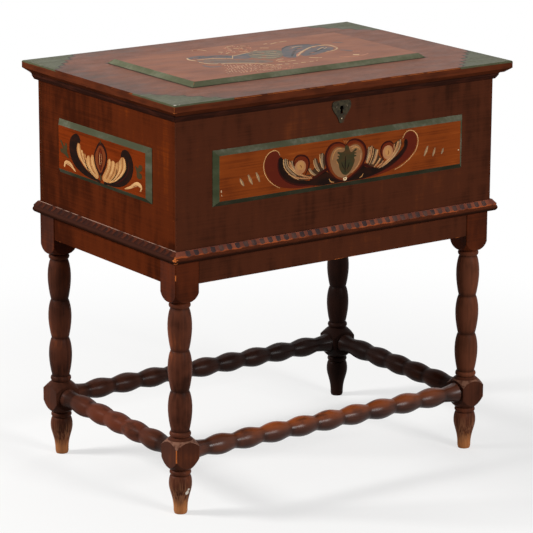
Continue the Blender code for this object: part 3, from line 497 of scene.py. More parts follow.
def done(smooth=SMOOTH):
    """Close the open piece with its faces pointing out and its round parts shaded smooth."""
    bpy.ops.mesh.select_all(action="SELECT")
    bpy.ops.mesh.normals_make_consistent(inside=False)
    bpy.ops.object.mode_set(mode="OBJECT")
    smooth_below(smooth)
    return bpy.context.object


def apply_all(piece):
    """Apply a piece's modifiers in order."""
    hold(piece)
    for modifier in list(piece.modifiers):
        bpy.ops.object.modifier_apply(modifier=modifier.name)
    return piece


def even(piece):
    """Keep flat faces looking flat where a rounded edge meets them."""
    piece.modifiers.new("even", "WEIGHTED_NORMAL").keep_sharp = True
    return apply_all(piece)


def carve(piece, tool, operation="DIFFERENCE"):
    """Cut a tool out of a piece, or keep what lies inside it, and put the tool away."""
    cut = piece.modifiers.new("carve", "BOOLEAN")
    cut.operation = operation
    cut.object = tool
    apply_all(piece)
    bpy.data.objects.remove(tool)
    return piece


print("hand tools ready")


# %% Placing tools
def copy_piece(piece, name, place, turn=FLAT):
    """A copy with its own mesh, turned and set at a place."""
    hold(piece)
    bpy.ops.object.duplicate()
    return settle(named(name), place, turn)


def repaint(piece, test, slot):
    """Give the faces that pass a test another of the piece's finishes."""
    edit(piece)
    pick("FACE", test)
    piece.active_material_index = slot
    bpy.ops.object.material_slot_assign()
    bpy.ops.object.mode_set(mode="OBJECT")


def seat(piece, body, slot, *replaced):
    """Let a piece ride on a body and stand for its nodes; its slot is not used."""
    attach(piece, body)
    if replaced:
        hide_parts(*replaced)
    return piece


def middle_of(node):
    """The middle of a node's box."""
    low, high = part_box(node)
    return (low + high) / 2


def block(name, low, high, *finishes):
    """A box between two corners."""
    size = Vector(high) - Vector(low)
    let_go()
    bpy.ops.mesh.primitive_cube_add(size=1.0, location=(Vector(low) + Vector(high)) / 2, scale=size)
    return settle(named(name, *finishes))


print("the box's middle is at", [round(side / MM) for side in middle_of("box_bottom")], "mm")

# %% [markdown]
# ## Turned legs
# A leg is turned from a bar that stays square where the aprons and stretchers enter. A disc is extruded
# ring by ring up the profile, as wide as the bar's corners at the blocks, and what lies inside the square
# bar is kept. The curved shoulders on the blocks then appear by themselves.

# %% Leg profile
LEG_SQUARE = 0.040
LEG_ARRIS = 0.0012
FOOT_HEIGHT = 0.0585
FOOT_BULB = 0.045
TOE_RADIUS = 0.010
TOE_CURVE = 1.5
BULB_RADIUS = 0.0168
COLLAR = 0.008
UPPER_COLLAR = 0.0085
COLLAR_RADIUS = 0.0157
NECK_RADIUS = 0.0132
LOWER_BLOCK = 0.049
LOWER_SHOULDER = 0.0195
UPPER_SHOULDER = 0.0150
LOWER_SLOPE = 0.62
UPPER_SLOPE = 0.85
BOBBINS = (0.0595, 0.0600, 0.0628)
BELLY_RADIUS = 0.0176
WAIST_RADIUS = 0.0130
FULL_BELLY = 0.68
BELLY_LEAN = 1.22
FULL_COLLAR = 0.6
TOP_SHOULDER = 0.0245
ROUND_STEPS = 12
leg_top = leg_high.z
block_foot = FOOT_HEIGHT + COLLAR
block_top = block_foot + LOWER_BLOCK


def bead(start, end, low, high, fullness, lean=1.0):
    """Profile of a bead between two necks, as (height, radius), without its last point."""
    points = []
    for step in range(ROUND_STEPS):
        share = (1 - math.cos(math.pi * step / ROUND_STEPS)) / 2
        radius = low + (high - low) * math.sin(math.pi * share ** lean) ** fullness
        points.append((start + (end - start) * share, radius))
    return points


def collar(start, length):
    """Profile of a small full bead."""
    return bead(start, start + length, NECK_RADIUS, COLLAR_RADIUS, FULL_COLLAR)


def shoulder(start, end, low, high, slope=None):
    """Profile of a round or sloping shoulder from a neck to a block, without its last point."""
    points = []
    for step in range(ROUND_STEPS):
        share = step / ROUND_STEPS
        rise = share ** slope if slope else math.sqrt(1 - (1 - share) ** 2)
        points.append((start + (end - start) * share, low + (high - low) * rise))
    return points


def leg_profile(top):
    """Heights and radii of a leg from the floor to its top."""
    corner = LEG_SQUARE * math.sqrt(0.5) + MM
    points = [(0.0, TOE_RADIUS - MM)]
    for step in range(1, ROUND_STEPS):
        share = step / ROUND_STEPS
        flare = math.sin(math.pi / 2 * share ** TOE_CURVE) ** 2
        points.append((FOOT_BULB * share, TOE_RADIUS + (BULB_RADIUS - TOE_RADIUS) * flare))
    points.append((FOOT_BULB, BULB_RADIUS))
    points += shoulder(FOOT_HEIGHT, FOOT_BULB, NECK_RADIUS, BULB_RADIUS)[:0:-1]
    points += collar(FOOT_HEIGHT, COLLAR)
    points += shoulder(block_foot, block_foot + LOWER_SHOULDER, NECK_RADIUS, corner, LOWER_SLOPE)
    points += [(block_foot + LOWER_SHOULDER, corner), (block_top - UPPER_SHOULDER, corner)]
    points += shoulder(block_top, block_top - UPPER_SHOULDER, NECK_RADIUS, corner, UPPER_SLOPE)[:0:-1]
    points += collar(block_top, UPPER_COLLAR)
    level = block_top + UPPER_COLLAR
    for length in BOBBINS:
        points += bead(level, level + length, WAIST_RADIUS, BELLY_RADIUS, FULL_BELLY, BELLY_LEAN)
        level += length
    points += collar(level, UPPER_COLLAR)
    level += UPPER_COLLAR
    points += shoulder(level, level + TOP_SHOULDER, NECK_RADIUS, corner)
    return points + [(level + TOP_SHOULDER, corner), (top, corner)]


print("leg profile of", len(leg_profile(leg_top)), "rings")

# %% Lathe
RING_SIDES = 48
TURNED_SMOOTH = 32


def turn_piece(name, profile, *finishes, sides=RING_SIDES):
    """Extrude a disc up a profile, ring by ring, about the Z axis."""
    level, radius = profile[0]
    let_go()
    bpy.ops.mesh.primitive_circle_add(vertices=sides, radius=radius, fill_type="NGON", location=(0, 0, level))
    piece = settle(named(name, *finishes))
    edit(piece)
    bpy.ops.mesh.select_all(action="SELECT")
    for height, size in profile[1:]:
        bpy.ops.mesh.extrude_region_move(TRANSFORM_OT_translate={"value": (0, 0, height - level)})
        share = size / radius
        bpy.ops.transform.resize(value=(share, share, 1), center_override=(0, 0, height))
        level, radius = height, size
    pick("EDGE", lambda edge: edge.is_boundary)
    bpy.ops.mesh.edge_face_add()
    return done(TURNED_SMOOTH)


def mark_hollows(piece, deep, full):
    """Store at each point how deep it lies, from 0 on a full belly to 1 in a neck."""
    hollow = piece.data.attributes.new("hollow", "FLOAT", "POINT")
    for index, point in enumerate(piece.data.vertices):
        radius = math.hypot(point.co.x, point.co.y)
        hollow.data[index].value = min(1.0, max(0.0, (full - radius) / (full - deep)))


LEG_FINISHES = (leg_finish, leg_edge_finish, box_finish, shoulder_finish)
leg = turn_piece("leg", leg_profile(leg_top), *LEG_FINISHES)
mark_hollows(leg, WAIST_RADIUS, BELLY_RADIUS)
print("turned blank of", len(leg.data.polygons), "faces")

# %% Legs
STAND = "stand_and_box"
SHOULDER_TILT = 0.25
half = LEG_SQUARE / 2


def on_shoulder(face):
    """Is this face on the slope above the lower block, clear of the neck?"""
    spot = middle(face)
    high = block_top - UPPER_SHOULDER - MM < spot.z < block_top
    return high and face.normal.z > SHOULDER_TILT and math.hypot(spot.x, spot.y) > BELLY_RADIUS


bar = block("bar", (-half, -half, -half), (half, half, leg_top), *LEG_FINISHES)
edit(bar, "EDGE")
pick("EDGE", lambda edge: abs(edge.verts[0].co.z - edge.verts[1].co.z) > half)
bpy.ops.mesh.bevel(offset=LEG_ARRIS, segments=3, affect="EDGES", material=1)
done()
carve(leg, bar, "INTERSECT")
edit(leg)
done(TURNED_SMOOTH)
even(leg)
repaint(leg, lambda face: face.material_index == 0 and middle(face).z > leg_top - LOWER_BLOCK, 2)
# Painted light, partly wear: the up-facing shoulders take the paler stain.
repaint(leg, on_shoulder, 3)
for place in ("front_left", "front_right", "back_left", "back_right"):
    node = "leg_" + place
    spot = middle_of(node)
    seat(copy_piece(leg, "turned_" + node, (spot.x, spot.y, 0.0)), STAND, "dark_stain", node)
print("four legs of", len(leg.data.polygons), "faces")
bpy.data.objects.remove(leg)

# %% [markdown]
# ## Bobbin stretchers
# Each stretcher is one string of beads between two short necks, and its round ends sit in drilled
# sockets. The front and back ones have nine beads, the side ones five. They are turned upright on the
# same lathe and then laid along X or Y.

# %% Stretchers
TENON = 0.012
TENON_RADIUS = 0.007
TENON_STEP = MM / 10
STRETCHER_NECK = 0.0232
STRETCHER_FLARE = 0.010
STRETCHER_END_RADIUS = 0.0156
STRETCHER_THROAT = 0.0128
ACROSS_WAIST = 0.0112
INWARD_WAIST = 0.0126
STRETCHER_BELLY = 0.0154
STRETCHER_FULLNESS = 1.35
ALONG_X = (0.0, math.pi / 2, 0.0)
ALONG_Y = (-math.pi / 2, 0.0, 0.0)
BEADS = {"front": (9, ACROSS_WAIST, across_finish), "back": (9, ACROSS_WAIST, back_finish),
         "left": (5, INWARD_WAIST, inward_finish), "right": (5, INWARD_WAIST, inward_finish)}


def stretcher_profile(length, beads, waist):
    """Lengths and radii of a stretcher from the end of one tenon to the other."""
    ends = [(0.0, TENON_RADIUS), (TENON, TENON_RADIUS), (TENON + TENON_STEP, STRETCHER_END_RADIUS),
            (TENON + STRETCHER_FLARE, STRETCHER_THROAT)]
    start = TENON + STRETCHER_NECK
    pitch = (length - 2 * start) / beads
    points = list(ends)
    for index in range(beads):
        level = start + index * pitch
        points += bead(level, level + pitch, waist, STRETCHER_BELLY, STRETCHER_FULLNESS)
    return points + [(length - start, waist)] + [(length - level, radius) for level, radius in reversed(ends)]


for side, (beads, waist, finish) in BEADS.items():
    node = "stretcher_" + side
    low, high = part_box(node)
    axis = 0 if side in ("front", "back") else 1
    length = (high - low)[axis]
    piece = turn_piece("turned_" + node, stretcher_profile(length, beads, waist), finish)
    mark_hollows(piece, waist, STRETCHER_BELLY)
    start = middle_of(node)
    start[axis] = low[axis]
    settle(piece, start, (ALONG_X, ALONG_Y)[axis])
    seat(piece, STAND, "dark_stain", node)
    print(piece.name, "with", beads, "beads over", round(length / MM), "mm")

# %% [markdown]
# ## Boards
# Boards come off a plane with crisp faces, and use rounds their edges. A copy of the CAD board is welded,
# because its triangles arrive loose, and a Bevel modifier takes off every sharp edge and gives the new
# strip the worn finish. Inside, the box is bare pine, and the walls of the keyhole are nearly black.

# %% Bare pine
PINE_DARK = srgb(150, 98, 55)
PINE_LIGHT = srgb(196, 148, 95)
PINE_RELIEF = 0.2 * MM
PINE_SHINE = 0.5
KEYHOLE_BLACK = srgb(8, 6, 5)
KEYHOLE_BROWN = srgb(20, 13, 9)


def bare_pine():
    """Old unpainted pine with grain along its longest way in the box."""
    material, place = new_finish("old_pine")
    rings = place.noise((3, 60, 160))
    lines = place.noise((9, 240, 300), 2)
    dust = place.noise(12)
    tone = rings * 0.9 + lines * 0.3 + dust * 0.3 - 0.35
    wood = tone.ease(0.1, 0.75).mix(PINE_DARK, PINE_LIGHT)
    return lay_finish(material, wood, 0.62, lines, PINE_RELIEF, shine=PINE_SHINE)


def dark_keyhole():
    """The nearly black inside of the keyhole."""
    material, place = new_finish("dark_keyhole_walls")
    return lay_finish(material, place.noise(300).mix(KEYHOLE_BLACK, KEYHOLE_BROWN), 0.7)


pine_finish = bare_pine()
keyhole_finish = dark_keyhole()
print("finishes", pine_finish.name, keyhole_finish.name)

# %% Planing tools
BOARD_ARRIS = 0.0008
BOARD_SHARP = 30
WELD = MM / 1000
LEVEL_ENOUGH = math.radians(0.5)


def weld():
    """Join the points of the open piece that lie at the same place."""
    bpy.ops.mesh.select_all(action="SELECT")
    bpy.ops.mesh.remove_doubles(threshold=WELD)


def rough_copy(node, *finishes):
    """A node's own shape, welded and ready for the plane."""
    piece = bpy.data.objects.new("planed_" + node, nodes[node].data.copy())
    bpy.context.collection.objects.link(piece)
    piece.data.materials.clear()
    for finish in finishes:
        piece.data.materials.append(finish)
    edit(piece, "VERT")
    bpy.ops.mesh.customdata_custom_splitnormals_clear()
    weld()
    bpy.ops.mesh.dissolve_limited(angle_limit=LEVEL_ENOUGH)
    bpy.ops.object.mode_set(mode="OBJECT")
    return piece


def soften(piece, width, sharp, slot, smooth):
    """Bevel every edge sharper than an angle, and give the new strip a finish of the piece."""
    plane = piece.modifiers.new("plane", "BEVEL")
    plane.width = width
    plane.segments = 2
    plane.limit_method = "ANGLE"
    plane.angle_limit = math.radians(sharp)
    plane.material = slot
    apply_all(piece)
    smooth_below(smooth)
    return piece


def planed(piece, arris=BOARD_ARRIS, sharp=BOARD_SHARP):
    """Take off every sharp edge, and give the strip that is cut the second finish."""
    return even(soften(piece, arris, sharp, min(1, len(piece.data.materials) - 1), sharp))


def bench_copy(node, *finishes, arris=BOARD_ARRIS, sharp=BOARD_SHARP):
    """A welded copy of a node with its edges planed."""
    return planed(rough_copy(node, *finishes), arris, sharp)


print("the plane takes off", BOARD_ARRIS / MM, "mm")

# %% Box boards
SKIN = 2 * MM
SIDEWAYS = 0.5
KEYHOLE_REACH = 0.012
box_low = Vector((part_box("box_left")[0].x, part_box("box_front")[0].y, 0.0))
box_high = Vector((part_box("box_right")[1].x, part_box("box_back")[1].y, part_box("box_left")[1].z))
plate_spot = middle_of("key_plate")


def inside_box(face):
    """Is this face away from the box's outer sides and its top edge?"""
    spot = middle(face)
    inner_x = box_low.x + SKIN < spot.x < box_high.x - SKIN
    inner_y = box_low.y + SKIN < spot.y < box_high.y - SKIN
    inward = face.normal.x * spot.x + face.normal.y * spot.y < 0 or abs(face.normal.z) > SIDEWAYS
    return inner_x and inner_y and inward and spot.z < box_high.z - SKIN


def in_keyhole(face):
    """Is this face part of the hole that the key goes through?"""
    spot = middle(face) - plate_spot
    return abs(face.normal.y) < SIDEWAYS and math.hypot(spot.x, spot.z) < KEYHOLE_REACH


for side in ("front", "back", "left", "right"):
    board = bench_copy("box_" + side, box_finish, box_edge_finish, pine_finish, keyhole_finish)
    repaint(board, inside_box, 2)
    repaint(board, in_keyhole, 3)
    seat(board, STAND, "red_brown_paint", "box_" + side)
    rail = bench_copy("rail_" + side, rail_finish, rail_edge_finish)
    seat(rail, STAND, "red_brown_paint", "rail_" + side)
    print(board.name, len(board.data.polygons), "faces,", rail.name, len(rail.data.polygons), "faces")

# %% Bottom, till and runners
INNER_BOARDS = {STAND: ("box_bottom", "runner_front", "runner_back"),
                "till": ("till_floor", "till_left", "till_right", "till_front", "till_back",
                         "till_partition_1")}
for body, names in INNER_BOARDS.items():
    for node in names:
        seat(bench_copy(node, pine_finish), body, "bare_pine", node)
print("pine boards", sum(len(names) for names in INNER_BOARDS.values()))

# %% [markdown]
# ## Moulding paint
# A strip with a sloping top and a round nose runs round the foot of the box. The scoops on its slope
# were painted grey-brown between red ridges. How high a point lies on the strip tells ridge, nose and
# underside apart, and a noise frays the borders. The underside is darkened as painted shade.

# %% Moulding paint
RIDGE_RED = srgb(136, 76, 56)
RIDGE_DULL = srgb(106, 60, 48)
NOSE_BROWN = srgb(78, 38, 23)
NOSE_LINE = srgb(158, 80, 45)
SIDE_RED = srgb(80, 40, 27)
SIDE_BROWN = srgb(60, 34, 27)
SIDE_NOSE = srgb(60, 34, 26)
NOSE_UNDER_SHADE = srgb(42, 22, 15)
SCOOP_GREY = srgb(66, 51, 50)
SCOOP_LIGHT = srgb(94, 68, 60)
SCOOP_BROWN = srgb(50, 32, 28)
EDGE_HIGHLIGHT_WEAR = srgb(182, 146, 128)
EDGE_HIGHLIGHT_WEAR_SPREAD = 0.08
MOULDING_RELIEF = 0.2 * MM
BARE_RAGGED = 0.012
base_low, base_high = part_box("base_moulding_front")
BARE_SPOTS = (((base_low.x + 0.001, base_low.y + 0.001, base_low.z + 0.0075), 0.0036),
              ((base_low.x + 0.003, base_low.y + 0.003, base_low.z + 0.0025), 0.0030))


def ridge_colour(place, ridge, dull, nose, line):
    """Worn ridges over a dark nose with painted shade below, a rubbed line between, bare at the front left
    corner.
    """
    height = (place.axis("Z") - base_low.z) / (base_high.z - base_low.z)
    wear = place.noise((60, 60, 160), 4) * 0.2 - 0.1
    patches = place.noise(45, 4)
    level = height + wear
    upper = level.ease(0.56, 0.62).mix(nose, patches.ease(0.40, 0.64).mix(dull, ridge))
    # Painted shade: the strip darkens low on its section, under the nose.
    colour = level.ease(0.20, 0.42).mix(NOSE_UNDER_SHADE, upper)
    rubbed = level.ease(0.48, 0.56) * level.ease(0.68, 0.60) * patches.ease(0.36, 0.56)
    ragged = place.noise(340, 4) * BARE_RAGGED - BARE_RAGGED / 2
    return chipped(place, rubbed.mix(colour, line), BARE_SPOTS, ragged, BARE_WOOD)


def moulding_paint(name, *colours):
    """The paint of a strip: its ridges, their dull places, its nose and the line between."""
    material, place = new_finish(name)
    lines = place.noise((30, 30, 500), 2)
    return lay_finish(material, ridge_colour(place, *colours), lines * 0.2 + 0.34, lines, MOULDING_RELIEF)


def scoop_paint(name, deep, pale, worn=0.0):
    """Dull paint, rubbed paler in places."""
    material, place = new_finish(name)
    rubbed = place.noise(70, 4).ease(0.38 - worn, 0.66 - worn)
    return lay_finish(material, rubbed.mix(deep, pale), 0.45)


front_strip = (moulding_paint("moulding_paint", RIDGE_RED, RIDGE_DULL, NOSE_BROWN, NOSE_LINE),
               scoop_paint("scoop_paint", SCOOP_GREY, SCOOP_LIGHT),
               scoop_paint("moulding_top_front", SCOOP_BROWN, RIDGE_DULL))
# The side strips' level tops carry a pale line: painted highlight, and wear.
side_strip = (moulding_paint("side_moulding_paint", SIDE_RED, SIDE_BROWN, SIDE_NOSE, SIDE_BROWN),
              scoop_paint("side_scoop_paint", SCOOP_BROWN, SIDE_BROWN),
              scoop_paint("moulding_top_side", SIDE_BROWN, EDGE_HIGHLIGHT_WEAR, EDGE_HIGHLIGHT_WEAR_SPREAD))
print("finishes", [finish.name for finish in front_strip + side_strip])

# %% [markdown]
# ## Drawing with curves
# A section or an outline is easiest to draw as a closed flat curve. Filled, extruded and turned into
# a mesh, it gives a strip, a plate or a patch of paint, and an outline inside another becomes a hole.


# %% Drawing with curves
def new_curve(closed, rows, handles):
    """A curve object with one spline for each row of points (x, y, radius)."""
    let_go()
    bpy.ops.curve.primitive_bezier_curve_add()
    curve = bpy.context.object.data
    curve.splines.clear()
    for row in rows:
        spline = curve.splines.new("BEZIER")
        spline.use_cyclic_u = closed
        spline.bezier_points.add(len(row) - 1)
        for knot, (x, y, radius) in zip(spline.bezier_points, row):
            knot.co = (x, y, 0.0)
            knot.radius = radius
            knot.handle_left_type = handles
            knot.handle_right_type = handles
    return curve


def drawn(name, outlines, low, high, *finishes, handles="AUTO", steps=8):
    """A filled flat drawing between two heights; an outline inside another is a hole."""
    rows = [[(x, y, 1.0) for x, y in outline] for outline in outlines]
    curve = new_curve(True, rows, handles)
    curve.dimensions = "2D"
    curve.fill_mode = "BOTH"
    curve.resolution_u = steps
    curve.extrude = (high - low) / 2
    bpy.ops.object.convert(target="MESH")
    piece = settle(named(name, *finishes), (0.0, 0.0, (low + high) / 2))
    edit(piece, "VERT")
    weld()
    return done()


print("curves ready")

# %% [markdown]
# ## Base moulding
# The section is drawn out into a strip, and a row of cylinders cuts the scoops, as a gouge does. They
# leave their own finish on the faces that they cut. The ends are cut at 45 degrees, to meet round the
# corners.

# %% Strip tools
MITRE_SMOOTH = 28
STRIP_TURN = (math.pi / 2, 0.0, -math.pi / 2)
SIDE_TURN = {"front": 0.0, "back": math.pi, "left": -math.pi / 2, "right": math.pi / 2}


def strip_blank(name, section, length, *finishes):
    """A strip of one section, lying along X with its face to the front."""
    strip = drawn(name, [section], -length / 2, length / 2, *finishes, handles="VECTOR", steps=1)
    return settle(strip, FLAT, STRIP_TURN)


def mitre(piece, length, depth, ends=(-1, 1)):
    """Cut one or both ends of a strip along X at 45 degrees."""
    edit(piece)
    for sign in ends:
        bpy.ops.mesh.select_all(action="SELECT")
        bpy.ops.mesh.bisect(plane_co=(sign * length / 2, -depth, 0.0), plane_no=(sign, 1.0, 0.0),
                            use_fill=True, clear_outer=True)
    return done(MITRE_SMOOTH)


def strip_place(node, side):
    """Where the middle of a strip's back goes, and how long the strip is."""
    low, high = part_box(node)
    spot = (low + high) / 2
    spot.z = low.z
    deep, along = (1, 0) if side in ("front", "back") else (0, 1)
    spot[deep] = (high if side in ("front", "left") else low)[deep]
    return spot, (high - low)[along]


print("strips for the", ", ".join(SIDE_TURN))

# %% Base moulding
STRIP_DEPTH = 0.0088
STRIP_BACK = 0.0003
STRIP_LAND = 0.0027
SLOPE_OUT = 0.0076
SLOPE_FALL = 0.0062
NOSE_RADIUS = 0.0053
NOSE_STEPS = 10
NOSE_START = 42
NOSE_SWEEP = 132
SCOOP_PITCH = 0.0140
SCOOP_RADIUS = 0.0076
SCOOP_SIDES = 24
SCOOP_DEPTH = 0.0013
SCOOP_LENGTH = 0.014
SCOOP_SHIFT = 0.0036
SCOOP_SLANT = {"front": 0.0, "back": 0.0, "left": 0.55, "right": 0.55}
LEVEL_TOP = 0.95
strip_height = base_high.z - base_low.z


def base_section():
    """Section of the strip as (out, z): a slope, then a round nose."""
    points = [(STRIP_BACK, 0.0), (STRIP_BACK, strip_height), (STRIP_LAND, strip_height),
              (SLOPE_OUT, strip_height - SLOPE_FALL)]
    for step in range(NOSE_STEPS + 1):
        angle = math.radians(NOSE_START - NOSE_SWEEP * step / NOSE_STEPS)
        out = STRIP_DEPTH - NOSE_RADIUS + NOSE_RADIUS * math.cos(angle)
        points.append((out, NOSE_RADIUS + NOSE_RADIUS * math.sin(angle)))
    return points


def scoop_row(length, slant, finishes):
    """A row of round cutters lying down the slope, from end to end of a strip."""
    fall = math.atan2(SLOPE_FALL, SLOPE_OUT - STRIP_LAND)
    count = round((length - 2 * SCOOP_PITCH) / SCOOP_PITCH)
    lift = SCOOP_RADIUS - SCOOP_DEPTH
    out = (STRIP_LAND + SLOPE_OUT) / 2 + lift * math.sin(fall)
    rise = strip_height - SLOPE_FALL / 2 + lift * math.cos(fall)
    start = -SCOOP_PITCH * (count - 1) / 2
    let_go()
    bpy.ops.mesh.primitive_cylinder_add(vertices=SCOOP_SIDES, radius=SCOOP_RADIUS, depth=SCOOP_LENGTH)
    cutter = named("scoops", *finishes)
    settle(cutter, (0.0, 0.0, -SCOOP_SHIFT), (0.0, slant, 0.0))
    settle(cutter, (start, -out, rise), (fall - math.pi / 2, 0.0, 0.0))
    for face in cutter.data.polygons:
        face.material_index = 1
    row = cutter.modifiers.new("row", "ARRAY")
    row.use_relative_offset = False
    row.use_constant_offset = True
    row.constant_offset_displace = (SCOOP_PITCH, 0.0, 0.0)
    row.count = count
    return apply_all(cutter)


for side, slant in SCOOP_SLANT.items():
    node = "base_moulding_" + side
    spot, length = strip_place(node, side)
    finishes = front_strip if side in ("front", "back") else side_strip
    strip = strip_blank("cut_" + node, base_section(), length, *finishes)
    settle(strip, (0.0, STRIP_BACK, 0.0))
    carve(strip, scoop_row(length, slant, finishes))
    mitre(strip, length, STRIP_DEPTH - STRIP_BACK)
    # Level tops take the third finish; on the side strips its pale line is painted highlight and wear.
    repaint(strip, lambda face: face.normal.z > LEVEL_TOP, 2)
    settle(strip, spot, (0.0, 0.0, SIDE_TURN[side]))
    seat(strip, STAND, "red_brown_paint", node)
    print(strip.name, len(strip.data.polygons), "faces")

# %% [markdown]
# ## Strip under the lid
# On three sides a small coved strip hides the joint between lid and box. It is drawn as a section too,
# with a hollow where the light falls away, and painted nearly black. The front strip is mitred at both
# ends, and each side strip runs straight out at the back.

# %% Lid strip
STRIP_INK = srgb(46, 25, 19)
STRIP_RED = srgb(68, 34, 24)
LID_STRIP_DEPTH = 0.0085
LID_STRIP_LIP = 0.0054
LID_STRIP_COVE = 0.0050
LID_STRIP_EDGE = MM / 2
COVE_STEPS = 8
MITRED_ENDS = {"front": (-1, 1), "left": (1,), "right": (-1,)}


def dark_strip_paint():
    """Nearly black red, rubbed redder along the edges."""
    material, place = new_finish("dark_strip_paint")
    rubbed = place.noise((26, 26, 180)).ease(0.46, 0.74)
    return lay_finish(material, rubbed.mix(STRIP_INK, STRIP_RED), 0.42)


def lid_section(height):
    """Section of the lid strip as (out, z): a cove under the lid, then a tapered foot."""
    points = [(0.0, 0.0), (0.0, height), (LID_STRIP_DEPTH, height)]
    for step in range(COVE_STEPS + 1):
        angle = math.pi / 2 * step / COVE_STEPS
        out = LID_STRIP_DEPTH - (LID_STRIP_DEPTH - LID_STRIP_LIP) * math.sin(angle)
        drop = (LID_STRIP_COVE - LID_STRIP_EDGE) * (1 - math.cos(angle))
        points.append((out, height - LID_STRIP_EDGE - drop))
    return points + [(LID_STRIP_LIP / 3, MM / 3), (LID_STRIP_LIP / 5, 0.0)]


strip_finish = dark_strip_paint()
for side, ends in MITRED_ENDS.items():
    node = "lid_moulding_" + side
    low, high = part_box(node)
    spot, length = strip_place(node, side)
    strip = strip_blank("drawn_" + node, lid_section(high.z - low.z), length, strip_finish)
    mitre(strip, length, LID_STRIP_DEPTH, ends)
    settle(strip, spot, (0.0, 0.0, SIDE_TURN[side]))
    seat(strip, "lid", "red_brown_paint", node)
    print(strip.name, round(length / MM), "mm")

# %% [markdown]
# ## Lid paint
# The lid is one wide board whose red has gone dull and pinkish, greyer towards its rim, with a green
# scalloped triangle in each corner. A point lies in a corner where its distances to the two nearest edges,
# as shares of the corner's size, add up to less than one. A wave on that limit makes the scallops.

# %% Lid paint
LID_PINK = srgb(128, 80, 60)
LID_ROSE = srgb(106, 67, 52)
LID_GREY = srgb(82, 66, 58)
PANEL_SHADOW = srgb(34, 22, 17)
CORNER_GREEN = srgb(92, 93, 70)
CORNER_DARK = srgb(68, 69, 50)
CORNER_LINE = srgb(34, 26, 21)
CORNER_ACROSS = 0.096
CORNER_BACK = 0.104
CORNER_MORE = 0.07
LARGER_TO_FRONT = (0.1, -0.1)
SCALLOPS = 3
SCALLOP_DEEP = 0.10
LINE_WIDTH = 0.05
PANEL_SHADOW_REACH = (0.0075, 0.0015)
GREY_RIM = (0.095, 0.03)
GREY_LEFT = (-0.30, 0.10)
LID_GRAIN = (5, 380, 5)
LID_RELIEF = 0.3 * MM
LID_SHINE = 0.08
lid_low, lid_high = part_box("lid_board")
lid_panel_low, lid_panel_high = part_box("lid_panel")
lid_panel_middle = (lid_panel_low + lid_panel_high) / 2
lid_panel_half = (lid_panel_high - lid_panel_low) / 2
LID_CHIPS = (((lid_low.x + 0.003, lid_low.y + 0.003, lid_high.z), 0.0042),
             ((lid_low.x + 0.010, lid_low.y + 0.002, lid_high.z), 0.0026))
CHIP_RAGGED = 0.002


def corner_share(place, spots):
    """Less than 1 inside the green scalloped corners, which are largest at the front."""
    y = place.axis("Y")
    across = (lid_high.x - abs(place.axis("X"))) / CORNER_ACROSS
    back = (lid_high.y - abs(y)) / CORNER_BACK
    along = (across - back) * (math.pi * SCALLOPS)
    wave = abs(along.sum("SINE", along)) * SCALLOP_DEEP + spots * 0.06 - 0.03
    reach = y.ease(*LARGER_TO_FRONT) * CORNER_MORE + 1.0
    return (across + back) / reach + wave


def lid_colour(place):
    """Worn red with green scalloped corners, greyer to the left and round the rim, a painted shadow round the
    panel.
    """
    x, y = place.axis("X"), place.axis("Y")
    lines = place.noise(LID_GRAIN, 2)
    patches = place.noise((26, 46, 26), 5)
    spots = place.noise((160, 260, 160))
    tone = patches * 0.4 + lines * 0.45 + spots * 0.35 - 0.6
    to_side = lid_high.x - abs(x)
    rim = to_side.sum("MINIMUM", to_side, lid_high.y - abs(y)) + patches * 0.05 + x.ease(*GREY_LEFT) * 0.05
    red = tone.ease(-0.14, 0.14).mix(LID_ROSE, LID_PINK)
    red = rim.ease(*GREY_RIM).mix(red, tone.ease(-0.15, 0.15).mix(LID_GREY, LID_ROSE))
    # Painted shadow: the lid darkens in a band round the panel.
    outside = abs(x - lid_panel_middle.x) - lid_panel_half.x
    before = abs(y - lid_panel_middle.y) - lid_panel_half.y
    gap = outside.sum("MAXIMUM", outside, before) + patches * 0.004
    red = (gap.ease(*PANEL_SHADOW_REACH) * 0.92).mix(red, PANEL_SHADOW)
    share = corner_share(place, spots)
    lined = share.ease(1.0 + LINE_WIDTH, 1.0 + LINE_WIDTH * 0.6) * patches.ease(0.36, 0.52)
    green = (tone + spots * 0.4 - 0.2).ease(-0.25, 0.2).mix(CORNER_DARK, CORNER_GREEN)
    colour = share.ease(1.0, 0.995).mix(lined.mix(red, CORNER_LINE), green)
    return chipped(place, colour, LID_CHIPS, spots * CHIP_RAGGED, SCUFF_WHITE)


def lid_paint():
    """Dull worn paint on the lid's board."""
    material, place = new_finish("lid_paint")
    lines = place.noise(LID_GRAIN, 2)
    rough = place.noise((30, 60, 30)) * 0.25 + 0.36
    return lay_finish(material, lid_colour(place), rough, lines, LID_RELIEF, shine=LID_SHINE)


lid_finish = lid_paint()
print("finish", lid_finish.name, "with corners of", CORNER_ACROSS / MM, "by", CORNER_BACK / MM, "mm")

# %% [markdown]
# ## Lid board
# The edge of the lid is red-brown like the box, and the green of the corners runs a little way over it.
# Hands have rubbed the front edge to bare wood, and underneath the board was never painted.

# %% Lid board
LID_EDGE_RED = srgb(92, 44, 25)
LID_EDGE_DARK = srgb(70, 34, 21)
CORNER_DEEP = 0.0042
RIM_GRAIN = (20, 20, 300)
RIM_PATCHES = (30, 30, 60)
RIM_RELIEF = 0.2 * MM
RUB_DEPTH = 0.004
LID_SHARP = 20
LID_UNDER = -0.9
LID_WEAR = (((lid_low.x, lid_low.y, lid_high.z - 0.008), 0.006),)


